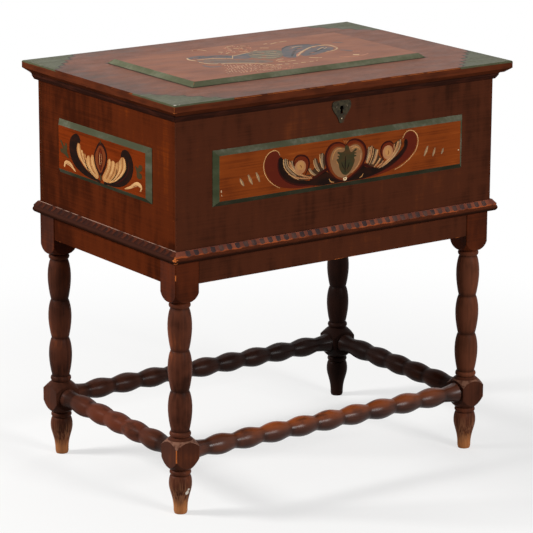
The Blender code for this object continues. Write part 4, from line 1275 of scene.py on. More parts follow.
def lid_rim_colour(place):
    """The red-brown edge of the lid, green where a painted corner runs over it."""
    lines = place.noise(RIM_GRAIN)
    patches = place.noise(RIM_PATCHES, 4)
    red = (lines * 0.5 + patches * 0.7).ease(0.42, 0.76).mix(LID_EDGE_DARK, LID_EDGE_RED)
    depth = lid_high.z - place.axis("Z") + lines * 0.003
    corner = corner_share(place, patches).ease(1.0, 0.98) * depth.ease(CORNER_DEEP, CORNER_DEEP * 0.8)
    return corner.mix(red, patches.mix(CORNER_DARK, CORNER_GREEN))


def front_rub(place):
    """Hands have rubbed the lid's front edge most, but not its painted corners."""
    front = place.axis("Y").ease(lid_low.y + RUB_DEPTH, lid_low.y + RUB_DEPTH / 2)
    plain = corner_share(place, place.noise(RIM_PATCHES, 4)).ease(0.98, 1.0)
    upper = place.axis("Z").ease(lid_high.z - RUB_DEPTH, lid_high.z - RUB_DEPTH / 2)
    return front * plain * upper * 0.24 + plain * 0.08 - 0.12


def lid_rim_paint():
    """The lid's edge, painted like the box and just as dull."""
    material, place = new_finish("lid_rim_paint")
    return lay_finish(material, lid_rim_colour(place), 0.42, place.noise(RIM_GRAIN), RIM_RELIEF)


lid_edge_finish = worn_edge("lid_worn_edge", lid_rim_colour, 0.05, LID_WEAR, front_rub)
lid = bench_copy("lid_board", lid_finish, lid_edge_finish, pine_finish, lid_rim_paint(), sharp=LID_SHARP)
repaint(lid, lambda face: face.material_index == 0 and face.normal.z < LEVEL_TOP, 3)
repaint(lid, lambda face: face.normal.z < LID_UNDER and middle(face).z < lid_low.z + MM, 2)
seat(lid, "lid", "worn_lid_red", "lid_board")
print(lid.name, len(lid.data.polygons), "faces")

# %% [markdown]
# ## Panel paint
# Each panel is a thin board planed to a bevel on its four sides. The bevel is green, and the flat field
# carries the ornament: warm orange-brown on the box, faded to a rosy brown on the lid where the sun and
# many hands have been.

# %% Panel paint
FRONT_TONES = (srgb(96, 42, 18), srgb(126, 58, 22), srgb(152, 76, 30))
SIDE_TONES = (srgb(90, 34, 11), srgb(116, 45, 14), srgb(132, 57, 19))
ROSY_TONES = (srgb(114, 66, 45), srgb(140, 84, 57), srgb(158, 101, 70))
GREEN_TONES = (srgb(73, 75, 57), srgb(87, 88, 70), srgb(110, 109, 94))
BEVEL_TONES = {"bevel_green": GREEN_TONES,
               "lid_bevel_green": (srgb(86, 89, 68), srgb(102, 104, 82), srgb(116, 116, 96)),
               "bevel_shade_green": (srgb(46, 47, 35), srgb(58, 58, 44), srgb(66, 65, 51)),
               "side_shade_green": (srgb(58, 60, 45), srgb(70, 71, 55), srgb(80, 79, 64)),
               "bevel_left_green": (srgb(70, 77, 54), srgb(84, 91, 66), srgb(101, 106, 84)),
               "bevel_lit_green": (srgb(98, 101, 78), srgb(115, 117, 93), srgb(134, 134, 114))}
ORANGE_GRAIN = (8, 8, 520)
ROSY_GRAIN = (7, 420, 7)
FADED_LEFT = (0.0, -0.2)
PANEL_RELIEF = 0.2 * MM
BEVEL_WEAR = (((lid_panel_low.x + 0.004, lid_panel_low.y + 0.004, lid_panel_high.z), 0.0045),
              ((lid_panel_high.x - 0.006, lid_panel_low.y + 0.008, lid_panel_high.z), 0.003))


def orange_colour(place, tones=FRONT_TONES):
    """Orange-brown ground with fine level grain lines."""
    lines = place.noise(ORANGE_GRAIN)
    patches = place.noise((22, 22, 34), 4)
    return three_tones(lines * 0.6 + patches * 0.6 - 0.6, tones, light=(0.08, 0.28))


def rosy_colour(place):
    """The faded ground of the lid's panel, with grain across the lid."""
    lines = place.noise(ROSY_GRAIN)
    patches = place.noise((18, 34, 18), 5)
    tone = lines * 0.45 + patches * 0.8 - place.axis("X").ease(*FADED_LEFT) * 0.08 - 0.62
    return three_tones(tone, ROSY_TONES, (-0.28, 0.02), (0.0, 0.25))


def ground_paint(name, colour_of, grain, shine=0.0):
    """A panel's field: its ground colour under a thin old varnish."""
    material, place = new_finish(name)
    lines = place.noise(grain)
    return lay_finish(material, colour_of(place), lines * 0.2 + 0.36, lines, PANEL_RELIEF, shine=shine)


def bevel_colour(place, tones=GREEN_TONES):
    """Grey-green bevel paint, a little streaked and dusty."""
    streaks = place.noise((16, 16, 60))
    dust = place.noise(180)
    green = streaks.ease(0.30, 0.70).mix(tones[0], tones[1])
    return (streaks * 0.65 + dust * 0.35).ease(0.46, 0.72).mix(green, tones[2])


def bevel_paint(name, tones):
    """Matt green on a panel's bevels."""
    material, place = new_finish(name)
    return lay_finish(material, bevel_colour(place, tones), 0.5, place.noise((90, 90, 200)), PANEL_RELIEF)


field_finish = ground_paint("orange_field", orange_colour, ORANGE_GRAIN)
side_field_finish = ground_paint("red_orange_field", lambda place: orange_colour(place, SIDE_TONES),
                                 ORANGE_GRAIN)
lid_field_finish = ground_paint("rosy_field", rosy_colour, ROSY_GRAIN, LID_SHINE)
greens = {name: bevel_paint(name, tones) for name, tones in BEVEL_TONES.items()}
bevel_edge_finish = worn_edge("bevel_worn_edge", bevel_colour, -0.02, BEVEL_WEAR)
print("finishes", field_finish.name, side_field_finish.name, lid_field_finish.name, list(greens))

# %% [markdown]
# ## Raised panels
# The bevels of the real panels are steeper than those of the CAD boards, so the field is scaled up about
# its middle and the square edge is moved down. The way a bevel faces then decides its green: a darker
# green as painted shade where it looks down, a lighter green as painted light where a side panel's bevel
# faces the front, and a greener one on the front panel's left bevel.

# %% Panels
PANEL_ARRIS = 0.0006
PANEL_SHARP = 15
FIELD_SLOPE = 0.97
BEVEL_SLOPE = -0.2
BEVEL_CAD = 0.009
BEVEL_WIDE = 0.0076
EDGE_CAD = 0.0015
EDGE_LEFT = 0.0003
ON_FACE = MM / 10
OUTWARD = {"front_panel": Vector((0, -1, 0)), "left_panel": Vector((-1, 0, 0)),
           "right_panel": Vector((1, 0, 0)), "lid_panel": Vector((0, 0, 1))}
FIELD_OF = {"front_panel": field_finish, "left_panel": side_field_finish,
            "right_panel": side_field_finish, "lid_panel": lid_field_finish}


def steepen(panel, node, outward):
    """Plane the bevel steeper: the field grows and hardly any of the square edge is left."""
    low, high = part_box(node)
    spot = (low + high) / 2
    reach = (high - low) / 2
    thick = abs(reach.dot(outward))
    growth = [1.0 if outward[axis] else (reach[axis] - BEVEL_WIDE) / (reach[axis] - BEVEL_CAD)
              for axis in range(3)]
    edit(panel, "VERT")
    pick("VERT", lambda point: (point.co - spot).dot(outward) > thick - ON_FACE)
    bpy.ops.transform.resize(value=growth, center_override=spot)
    pick("VERT", lambda point: abs((point.co - spot).dot(outward) + thick - EDGE_CAD) < ON_FACE)
    bpy.ops.transform.translate(value=outward * (EDGE_LEFT - EDGE_CAD))
    bpy.ops.object.mode_set(mode="OBJECT")


def green_towards(panel, axis, slot):
    """Give the bevels that look down an axis another green."""
    repaint(panel, lambda face: face.material_index == 0 and face.normal[axis] < BEVEL_SLOPE, slot)


for node, outward in OUTWARD.items():
    on_lid = node == "lid_panel"
    on_side = node in ("left_panel", "right_panel")
    green = greens["lid_bevel_green" if on_lid else "bevel_green"]
    shade = greens["side_shade_green" if on_side else "bevel_shade_green"]
    turned = greens["bevel_lit_green" if on_side else "bevel_left_green"]
    panel = rough_copy(node, green, bevel_edge_finish, FIELD_OF[node], shade, turned)
    steepen(panel, node, outward)
    planed(panel, PANEL_ARRIS, PANEL_SHARP)
    # Painted shade on bevels that look down; painted light on side-panel bevels that face the front.
    green_towards(panel, 2, 3)
    if not on_lid:
        green_towards(panel, 1 if on_side else 0, 4)
    repaint(panel, lambda face: face.normal.dot(outward) > FIELD_SLOPE, 2)
    seat(panel, "lid" if on_lid else STAND, "orange_panel_paint", node)
    print(panel.name, len(panel.data.polygons), "faces")

# %% [markdown]
# ## Iron and brass
# The key plate, the hinges and the lock are old iron with a dull greenish skin and a little rust. The
# nails, the screws and the bolt are brass that tarnished where nobody rubs it.

# %% Metal finishes
IRON_DARK = srgb(34, 29, 19)
IRON_LIGHT = srgb(56, 49, 33)
IRON_RUST = srgb(62, 40, 24)
IRON_METAL = 0.25
IRON_SHINE = 0.12
IRON_RELIEF = 0.2 * MM
BRASS_DULL = srgb(58, 46, 38)
BRASS_DARK = srgb(110, 98, 74)
BRASS_LIGHT = srgb(190, 180, 158)
BRASS_METAL = 0.8
BRASS_SHINE = 0.5
BRASS_RELIEF = 0.1 * MM


def old_iron():
    """Dark iron with a greenish skin and a little rust."""
    material, place = new_finish("old_iron")
    skin = place.noise(210, 4)
    rust = place.noise(95, 4, (4, 0, 0)).ease(0.56, 0.70)
    colour = rust.mix(skin.ease(0.36, 0.66).mix(IRON_DARK, IRON_LIGHT), IRON_RUST)
    return lay_finish(material, colour, rust * 0.25 + 0.44, skin, IRON_RELIEF, IRON_METAL, IRON_SHINE)


def old_brass(name, dark, light):
    """Tarnished brass, rubbed bright on the high places."""
    material, place = new_finish(name)
    skin = place.noise(340)
    colour = skin.ease(0.40, 0.62).mix(dark, light)
    return lay_finish(material, colour, 0.36, skin, BRASS_RELIEF, BRASS_METAL, BRASS_SHINE)


iron_finish = old_iron()
brass_finish = old_brass("old_brass_skin", BRASS_DARK, BRASS_LIGHT)
dull_brass_finish = old_brass("dull_brass_skin", BRASS_DULL, BRASS_DARK)
print("finishes", iron_finish.name, brass_finish.name, dull_brass_finish.name)

# %% [markdown]
# ## Key plate and nails
# The shield round the keyhole was cut from thin sheet iron and nailed on with three pins. Its outline
# and the keyhole are one flat drawing, and half of the shield is given in shares of its width and height.
# The nails are turned on the lathe.

# %% Key plate
SHIELD = ((0.12, 0.06), (0.22, 0.085), (0.27, 0.15), (0.33, 0.24), (0.44, 0.33), (0.60, 0.43), (0.82, 0.56),
          (0.96, 0.69), (1.0, 0.79), (0.95, 0.91), (0.78, 0.99), (0.42, 0.985), (0.0, 1.0))
KEYHOLE_EYE = 0.0031
KEYHOLE_SLOT = 0.0026
KEYHOLE_DROP = 0.0080
KEYHOLE_HEIGHT = 0.0117
EYE_START = -55
EYE_SWEEP = 290
EYE_STEPS = 12
PLATE_ARRIS = 0.0003
plate_low, plate_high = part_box("key_plate")
plate_size = plate_high - plate_low
FACE_FRONT = (math.pi / 2, 0.0, 0.0)


def shield_outline():
    """The plate's outline about its middle, foot first."""
    right = [(across * plate_size.x / 2, (rise - 0.5) * plate_size.z) for across, rise in SHIELD]
    return right + [(-x, y) for x, y in reversed(right[:-1])]


def keyhole_outline(top):
    """A round eye over a narrower slot, from the slot's foot."""
    points = [(-KEYHOLE_SLOT, top - KEYHOLE_HEIGHT), (KEYHOLE_SLOT, top - KEYHOLE_HEIGHT)]
    for step in range(EYE_STEPS + 1):
        angle = math.radians(EYE_START + EYE_SWEEP * step / EYE_STEPS)
        points.append((KEYHOLE_EYE * math.cos(angle), top - KEYHOLE_EYE + KEYHOLE_EYE * math.sin(angle)))
    return points


outlines = [shield_outline(), keyhole_outline(plate_size.z / 2 - KEYHOLE_DROP)]
plate = drawn("shield_key_plate", outlines, 0.0, plate_size.y, iron_finish, handles="VECTOR", steps=1)
soften(plate, PLATE_ARRIS, BOARD_SHARP, -1, SMOOTH)
settle(plate, (plate_spot.x, plate_high.y, plate_spot.z), FACE_FRONT)
seat(plate, STAND, "dark_iron", "key_plate")
print(plate.name, len(plate.data.polygons), "faces")

# %% Nails
NAIL_RADIUS = 0.0015
NAIL_DOME = 0.0009
NAIL_SHANK = 0.004
NAIL_RIM = MM / 20
DOME_STEPS = 6
SMALL_SIDES = 20
nail_profile = [(-NAIL_SHANK, NAIL_RADIUS / 2), (0.0, NAIL_RADIUS / 2), (NAIL_RIM, NAIL_RADIUS)]
for step in range(1, DOME_STEPS):
    angle = math.pi / 2 * step / DOME_STEPS
    nail_profile.append((NAIL_RIM + NAIL_DOME * math.sin(angle), NAIL_RADIUS * math.cos(angle)))
nail = turn_piece("nail", nail_profile, brass_finish, sides=SMALL_SIDES)
for place in ("left", "right", "foot"):
    node = "key_plate_nail_" + place
    spot = middle_of(node)
    twin = copy_piece(nail, "domed_" + node, (spot.x, plate_low.y, spot.z), FACE_FRONT)
    twin.data.materials[0] = brass_finish if place == "foot" else dull_brass_finish
    seat(twin, STAND, "old_brass", node)
bpy.data.objects.remove(nail)
print("three nails with", len(nail_profile), "rings")

# %% [markdown]
# ## Screws, hinges and lock
# One countersunk screw is turned, gets its slot from a thin block, and is copied to its ten places. The
# hinge leaves and the lock are CAD shapes with their edges taken off, and the pins are turned.

# %% Screws
SCREW_HEAD = 0.0025
SCREW_PROUD = 0.00012
SCREW_RIM = 0.0003
SCREW_CONE = 0.0015
SCREW_SHANK = 0.0013
SCREW_LENGTH = 0.010
SLOT_WIDE = 0.0006
SLOT_DEEP = 0.0007
UP = FLAT
DOWN = (math.pi, 0.0, 0.0)
FACE_BACK = (-math.pi / 2, 0.0, 0.0)
HEAD_SIDE = {UP: (2, 1), DOWN: (2, 0), FACE_BACK: (1, 1)}
SIDES = ("left", "right")
HINGE_SCREWS = (("box", STAND, UP), ("lid", "lid", DOWN))
SCREWS = [("hinge_%s_screw_%s_%d" % (leaf, side, row), body, turn)
          for leaf, body, turn in HINGE_SCREWS for side in SIDES for row in (1, 2)]
SCREWS += [("lock_screw_" + side, STAND, FACE_BACK) for side in SIDES]

screw_profile = [(-SCREW_LENGTH, SCREW_SHANK / 2), (-SCREW_LENGTH + MM, SCREW_SHANK),
                 (-SCREW_CONE, SCREW_SHANK), (0.0, SCREW_HEAD), (SCREW_PROUD, SCREW_HEAD - SCREW_RIM)]
screw = turn_piece("screw", screw_profile, brass_finish, sides=SMALL_SIDES)
slot = block("slot", (-SCREW_HEAD * 2, -SLOT_WIDE / 2, -SLOT_DEEP), (SCREW_HEAD * 2, SLOT_WIDE / 2, MM))
carve(screw, slot)
for node, body, turn in SCREWS:
    axis, end = HEAD_SIDE[turn]
    spot = middle_of(node)
    spot[axis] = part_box(node)[end][axis]
    seat(copy_piece(screw, "slotted_" + node, spot, turn), body, "old_brass", node)
bpy.data.objects.remove(screw)
print(len(SCREWS), "slotted screws")

# %% Hinges and lock
PIN_RADIUS = 0.0015
PIN_END = PIN_RADIUS * 0.7
PIN_ROUND = MM / 3
METAL_ARRIS = 0.0003
METAL_SHARP = 40
LOCK = (("lock_case", STAND, iron_finish, "dark_iron"), ("lock_bolt", "lock_bolt", brass_finish, "old_brass"),
        ("lock_staple", "lid", iron_finish, "dark_iron"))
for side in SIDES:
    for leaf, body in (("box_leaf", STAND), ("lid_leaf", "lid")):
        node = "hinge_%s_%s" % (leaf, side)
        seat(bench_copy(node, iron_finish, arris=METAL_ARRIS, sharp=METAL_SHARP), body, "dark_iron", node)
    node = "hinge_pin_" + side
    low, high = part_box(node)
    length = (high - low).x
    profile = [(0.0, PIN_END), (PIN_ROUND, PIN_RADIUS), (length - PIN_ROUND, PIN_RADIUS), (length, PIN_END)]
    pin = turn_piece("round_" + node, profile, iron_finish, sides=SMALL_SIDES)
    spot = middle_of(node)
    settle(pin, (low.x, spot.y, spot.z), ALONG_X)
    seat(pin, STAND, "dark_iron", node)
for node, body, finish, slot in LOCK:
    seat(bench_copy(node, finish, arris=METAL_ARRIS), body, slot, node)
print("two hinges and the lock")

# %% [markdown]
# ## Brushwork
# The ornament is old country brushwork: fat comma strokes that start wide and end thin, one coat over
# another. A stroke is a curve whose radius follows the brush's pressure, turned into a mesh and pressed
# flat on its panel. Points are given in millimetres from the middle of the panel: (across, up, width) in
# a stroke, (across, up) in the outline of a filled patch.

# %% Brush
COAT = 0.05 * MM
FIRST_COAT = 0.06 * MM
UNDER_COAT = -0.03 * MM
ROUND_END = 0.35
END_WIDTH = 0.45
STROKE_STEPS = 5
STROKE_SMOOTH = 60
OVAL_STEPS = 12


def rounded(stroke):
    """A stroke in metres, with a narrow point added at both ends so that it ends round."""
    points = [(across * MM, up * MM, width) for across, up, width in stroke]
    ends = []
    for tip, next_point in ((points[0], points[1]), (points[-1], points[-2])):
        way = Vector((tip[0] - next_point[0], tip[1] - next_point[1])).normalized()
        reach = tip[2] * MM * ROUND_END
        ends.append((tip[0] + way.x * reach, tip[1] + way.y * reach, tip[2] * END_WIDTH))
    return [ends[0]] + points + [ends[1]]


def brushed(name, strokes, coat, finish):
    """Strokes pressed flat: the upper half to the coat's height, the rest just into the ground."""
    curve = new_curve(False, [rounded(stroke) for stroke in strokes], "AUTO")
    curve.dimensions = "3D"
    curve.twist_mode = "Z_UP"
    curve.bevel_depth = MM / 2
    curve.bevel_resolution = 2
    curve.use_fill_caps = True
    curve.resolution_u = STROKE_STEPS
    bpy.ops.object.convert(target="MESH")
    piece = settle(named(name, finish))
    edit(piece, "VERT")
    top = FIRST_COAT + coat * COAT
    pick("VERT", lambda point: point.co.z > WELD)
    bpy.ops.transform.resize(value=(1, 1, 0), center_override=(0, 0, top))
    pick("VERT", lambda point: point.co.z < top / 2)
    bpy.ops.transform.resize(value=(1, 1, 0), center_override=(0, 0, UNDER_COAT))
    return done(STROKE_SMOOTH)


def filled(name, outlines, coat, finish):
    """Filled shapes with smooth outlines, in millimetres."""
    rows = [[(across * MM, up * MM) for across, up in outline] for outline in outlines]
    return drawn(name, rows, UNDER_COAT, FIRST_COAT + coat * COAT, finish, steps=STROKE_STEPS)


def oval(across, up, width, height):
    """An oval outline about a point."""
    turns = [2 * math.pi * step / OVAL_STEPS for step in range(OVAL_STEPS)]
    return [(across + width * math.cos(angle), up + height * math.sin(angle)) for angle in turns]


def shrunk(outline, centre, share):
    """An outline drawn smaller about a point."""
    return [(centre[0] + (across - centre[0]) * share, centre[1] + (up - centre[1]) * share)
            for across, up in outline]


print("brush ready, one coat is", COAT / MM, "mm thick")

# %% [markdown]
# ## Paint pots
# Brush paint is thick in some places, thin in others, and rubbed through here and there, so each pot
# blends into the ground of its panel. Pots for the sides say how well they cover, pots for the lid how
# much of them is worn off.

# %% Paint pots
SIDE_COLOURS = {
    "cream": (srgb(206, 160, 108), 0.7), "tan": (srgb(136, 99, 67), 0.85),
    "straw": (srgb(184, 132, 80), 0.7), "grey_cream": (srgb(142, 118, 90), 0.75),
    "deep_red": (srgb(90, 33, 22), 0.92), "dark_red": (srgb(54, 22, 19), 0.92),
    "red_brown": (srgb(100, 38, 21), 0.85), "rust": (srgb(114, 55, 28), 0.8),
    "black_brown": (srgb(32, 22, 19), 0.94), "leaf_green": (srgb(58, 55, 36), 0.85),
    "pink_tan": (srgb(174, 122, 82), 0.75), "chalk": (srgb(226, 198, 156), 0.8),
    "brown_shade": (srgb(66, 46, 32), 0.9)}
LID_COLOURS = {
    "cream": (srgb(200, 166, 126), 0.11), "slate": (srgb(82, 82, 84), 0.10),
    "moss": (srgb(100, 98, 80), 0.12), "ink": (srgb(54, 52, 52), 0.12),
    "taupe": (srgb(112, 94, 80), 0.14), "chalk": (srgb(226, 198, 156), 0.04),
    "rose": (srgb(190, 124, 94), 0.13), "fleck": (srgb(202, 164, 132), 0.13)}
SIDE_BRUSH = (70, 70, 150)
LID_BRUSH = (90, 150, 90)
GOOD_COVER = 0.8
GOOD_WEAR = -0.1
THIN_WEAR = 0.03
LID_COVER = 0.7
THICK_WAVES = 0.7
BRUSH_RELIEF = 0.1 * MM


def pot(name, colour, ground_of, wear, cover, grain, shine=0.0):
    """A brush paint with thick and thin places, rubbed through here and there."""
    material, place = new_finish(name)
    thick = place.noise(tuple(wave * THICK_WAVES for wave in grain), 4)
    rubbed = place.noise(grain, 5, (7, 2, 5)).ease(0.70 - wear, 0.76 - wear)
    ground = ground_of(place)
    thin = thick.ease(0.30, 0.62) * (1.0 - cover) + cover
    colour = (thin * (1 - rubbed)).mix(ground, colour)
    return lay_finish(material, colour, thick * 0.2 + 0.36, thick, BRUSH_RELIEF, shine=shine)


side_pots = {}
for name, (colour, cover) in SIDE_COLOURS.items():
    wear = GOOD_WEAR if cover > GOOD_COVER else THIN_WEAR
    side_pots[name] = pot("brush_" + name, colour, orange_colour, wear, cover, SIDE_BRUSH)
lid_pots = {}
for name, (colour, wear) in LID_COLOURS.items():
    lid_pots[name] = pot("lid_brush_" + name, colour, rosy_colour, wear, LID_COVER, LID_BRUSH, LID_SHINE)
print(len(side_pots), "paints for the sides,", len(lid_pots), "for the lid")

# %% [markdown]
# ## Scrolls of the front panel
# Two large red scrolls swing out from the middle, with a dark shadow inside and a fine cream line
# outside. The table gives each coat its name, its height, its pot and its shapes, and as on the real
# panel a higher coat lies on top.

# %% Front scrolls
FRONT_SCROLLS = [
    ("scrolls", 0, "deep_red", [
        [(-113, 24), (-118, 27), (-124, 28), (-130, 26), (-135, 21), (-138, 14), (-138, 5), (-135, -4),
         (-128, -14), (-117, -22), (-105, -27), (-88, -30), (-71, -31.2), (-58, -31.4), (-51, -31.2),
         (-57, -29.6), (-69, -27), (-88, -22), (-100, -16), (-109, -8), (-113, 0), (-114, 8), (-112, 16)],
        [(109, 19), (113, 26), (120, 28), (128, 25), (133, 17), (133, 7), (128, -3), (116, -13), (99, -21),
         (79, -27), (57, -30.6), (42, -31.4), (32, -31.2), (36, -29.6), (45, -27), (64, -22), (81, -15),
         (97, -7), (108, 1), (113, 9), (112, 16)]]),
    ("scroll_blends", 1, "dark_red", [
        [(-114, 16, 2), (-115, 6, 3.5), (-112, -5, 4), (-103, -15.5, 4), (-89, -23, 4), (-71, -27, 4),
         (-49, -28, 4)],
        [(115, 15, 2), (115.5, 8, 3.5), (107.5, -4, 4), (93.5, -14, 4), (77, -21.5, 4), (58, -26.5, 4),
         (42, -28.5, 4)]]),
    ("shadows", 2, "black_brown", [
        [(-112, 18), (-108, 16.5), (-106, 8), (-103, -2), (-95, -11), (-84, -18), (-71, -20.5), (-57, -22),
         (-50, -20), (-39, -16), (-31, -13), (-22, -20), (-8, -26), (10, -26), (22, -21), (34, -12),
         (40, -15), (50, -17), (60, -18.5), (75, -15.5), (91, -8.5), (103, 0), (110, 8), (111, 16.5),
         (115, 16.5), (115.5, 8), (107, -4.5), (93, -14.5), (76, -22), (58, -28), (36, -31.8), (10, -32),
         (-20, -32), (-45, -31.8), (-72, -25.5), (-90, -22), (-103, -14.5), (-111, -5), (-114, 5),
         (-114, 13)]]),
    ("shadow_edges", 2, "dark_red", [
        [(-58, -21, 3), (-49, -17.5, 6), (-38, -13.5, 7), (-30, -10, 5)],
        [(36, -11, 4), (44, -13.5, 5), (54, -17.5, 3)]]),
    ("scroll_lines", 3, "cream", [
        [(-112.6, 21.5, 0.8), (-116, 27, 1.1), (-122.5, 29, 1.2), (-133, 25, 1.3), (-139, 16, 1.3),
         (-140.2, 6.6, 1.3), (-135.6, -7.3, 1.2), (-125, -18.6, 1), (-112, -26.5, 0.7)],
        [(107, 19, 1), (113, 27, 1.3), (121, 29.5, 1.4), (131, 24.5, 1.5), (135.5, 15, 1.5), (134, 3, 1.4),
         (126, -8, 1.3), (110.4, -19.2, 1), (93, -26, 0.7)]])]
FACE_TURN = {"front_panel": FACE_FRONT, "left_panel": (math.pi / 2, 0.0, -math.pi / 2),
             "right_panel": (math.pi / 2, 0.0, math.pi / 2), "lid_panel": FLAT}


def paint_panel(node, work, pots):
    """Lay every coat of an ornament on a panel, as strokes or as filled patches."""
    low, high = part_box(node)
    outward = OUTWARD[node]
    spot = (low + high) / 2 + outward * abs((high - low).dot(outward) / 2)
    for title, coat, colour, shapes in work:
        painter = brushed if len(shapes[0][0]) == 3 else filled
        piece = painter("%s_%s" % (node, title), shapes, coat, pots[colour])
        settle(piece, spot, FACE_TURN[node])
        seat(piece, "lid" if node == "lid_panel" else STAND, "orange_panel_paint")
    print(node, "painted in", len(work), "coats")


paint_panel("front_panel", FRONT_SCROLLS, side_pots)

# %% [markdown]
# ## Leaves of the front panel
# Inside each scroll lies a fan of pale leaves: a brown bed first, then grey strokes, warmer ones over
# them, and thin cream lines last. Three dashes stand at each end of the panel.

# %% Front leaves
FRONT_LEAVES = [
    ("leaf_beds", 3, "brown_shade", [
        [(-106, 14), (-96, 11.5), (-90, 9), (-86, -3), (-72, -12), (-56, -17.5), (-62, -20), (-84, -17.5),
         (-98, -8), (-105.5, 2)],
        [(104, 17), (96, 16), (90.5, 12), (88, 2), (80, -8.5), (70, -12.5), (58, -17), (66, -20), (80, -14.5),
         (94, -5.5), (103.5, 6)],
        [(45, 13.5), (51.5, 15), (56, 10.5), (62, 8), (63.5, 0), (68, -5), (72, -9), (63, -18.5), (52, -16),
         (42, -9)],
        [(-53.5, 7.5), (-48, 8.5), (-43.5, 1), (-42, 14), (-36, 14.5), (-34.5, -8), (-42, -12), (-51, -16.5),
         (-60, -11), (-62.5, -5), (-57, -7.5), (-51.5, -5)]]),
    ("grey_leaves", 4, "grey_cream", [
        [(-103, 14, 3), (-102, 6, 4), (-95, -4, 4), (-84, -12.5, 2.6)],
        [(-91, 10, 2.4), (-90, 3, 3.6), (-82, -6, 3.6), (-69, -15.5, 2)],
        [(-60, -5, 2.6), (-56, -11, 4), (-49.5, -15.4, 2)],
        [(-50.8, 7.8, 3.2), (-48.5, -1.3, 4.6), (-43, -10, 2.6)],
        [(-38, 13.3, 3.6), (-38.9, 3.6, 5), (-35.6, -8.3, 3)],
        [(103, 17, 3), (102, 8, 4), (94, -3, 4), (82, -12, 3.4), (70, -18.5, 2)],
        [(45.4, 13, 3), (44, 1, 3.6), (41.3, -8, 2.2)],
        [(58.7, 7.9, 3), (56.6, -1.7, 3.6), (51.3, -11.8, 2.2)],
        [(-180.4, -4.5, 2.4), (-177.6, -10, 5), (-174.3, -14.6, 2.2)],
        [(-166.6, -0.8, 2.4), (-163.1, -8, 5.2), (-159.6, -14.4, 2)],
        [(-153, 1.2, 2.2), (-150, -5.5, 4.6), (-147.2, -12.2, 2)],
        [(154.2, 1.4, 2.4), (151.5, -5, 4.8), (147.8, -12, 2)],
        [(167.8, -3, 2.2), (166, -8.5, 4.4), (163.9, -14.2, 2)],
        [(183.2, -5.4, 2), (182, -9.5, 3.8), (180, -12.8, 1.8)]]),
    ("dash_lights", 5, "cream", [
        [(-180.4, -5.5, 0.8), (-178.4, -10, 1.6), (-175.4, -13.8, 0.8)],
        [(-166.6, -2, 0.8), (-164, -8, 1.7), (-160.8, -13.4, 0.8)],
        [(-153, 0.4, 0.6), (-151, -5.5, 1.2), (-148.4, -11, 0.6)],
        [(154, 0.4, 0.7), (152, -5, 1.4), (148.6, -11.2, 0.7)],
        [(167.6, -4, 0.6), (166.4, -8.5, 1.2), (164.4, -13, 0.6)]]),
    ("pink_leaves", 5, "pink_tan", [
        [(-96, 10, 2.6), (-93, 2, 4), (-85, -7, 4.2), (-72, -13.5, 3.2), (-57, -18, 1.8)],
        [(-97, -8, 1.6), (-84, -14.5, 2.6), (-69, -18, 2.4), (-56, -19.3, 1.4)],
        [(100, 15, 3), (96, 5, 4.2), (87, -6, 4.2), (75, -15, 3), (64, -19.5, 1.6)],
        [(92, 12, 2.6), (90, 4, 3.6), (83, -7, 3.4), (71, -15, 1.8)],
        [(50.9, 13.8, 3), (48.9, 2, 4), (43.6, -9.9, 2.2)], [(62, 7, 2.8), (58.9, -3.8, 3.6), (54, -12.5, 2)],
        [(67, -6, 2.6), (62, -12, 3.2), (55.8, -16.9, 1.8)],
        [(72, -10, 2.4), (67, -15, 2.8), (61, -18, 1.6)]]),
    ("pale_lines", 6, "cream", [
        [(-106, 14, 1.3), (-105, 4, 1.8), (-98, -6, 1.7), (-88, -14, 1.4), (-80, -18, 0.9)],
        [(-100, 14, 1), (-98, 5, 1.5), (-90, -4, 1.4), (-79, -12, 0.9)],
        [(-94, 9.5, 0.9), (-91, 2, 1.2), (-83, -7, 1.2), (-70, -14.5, 0.8)],
        [(-62, -5, 1.2), (-58, -11.6, 1.6), (-51.6, -16, 1)],
        [(-53.4, 6.4, 1.3), (-51.2, -2.8, 1.9), (-44.7, -11, 1.2)],
        [(-42.3, 13.8, 1.4), (-41.6, 4, 2), (-38.3, -6.2, 1.2)],
        [(98, 15.5, 1.2), (94, 5, 1.6), (85, -6.5, 1.5), (72, -15.5, 1)],
        [(103, 11, 0.9), (97, 1, 1.2), (88, -8.5, 1.2), (76, -16, 0.8)],
        [(48, 13.2, 1.4), (46, 1, 1.8), (42, -9, 1.1)],
        [(54.2, 10.3, 1.2), (52.2, -0.3, 1.6), (47, -11.3, 1)],
        [(61, 8, 1.2), (57.5, -3.5, 1.5), (52.5, -12.5, 0.9)],
        [(66, -5, 1), (61, -11.5, 1.3), (55, -16.5, 0.8)]])]
paint_panel("front_panel", FRONT_LEAVES, side_pots)

# %% [markdown]
# ## Flowers and heart of the front panel
# A round flower sits on each fan and a large heart in the middle, with a green bud on a tan field. The
# bands round the heart are its own outline drawn smaller.

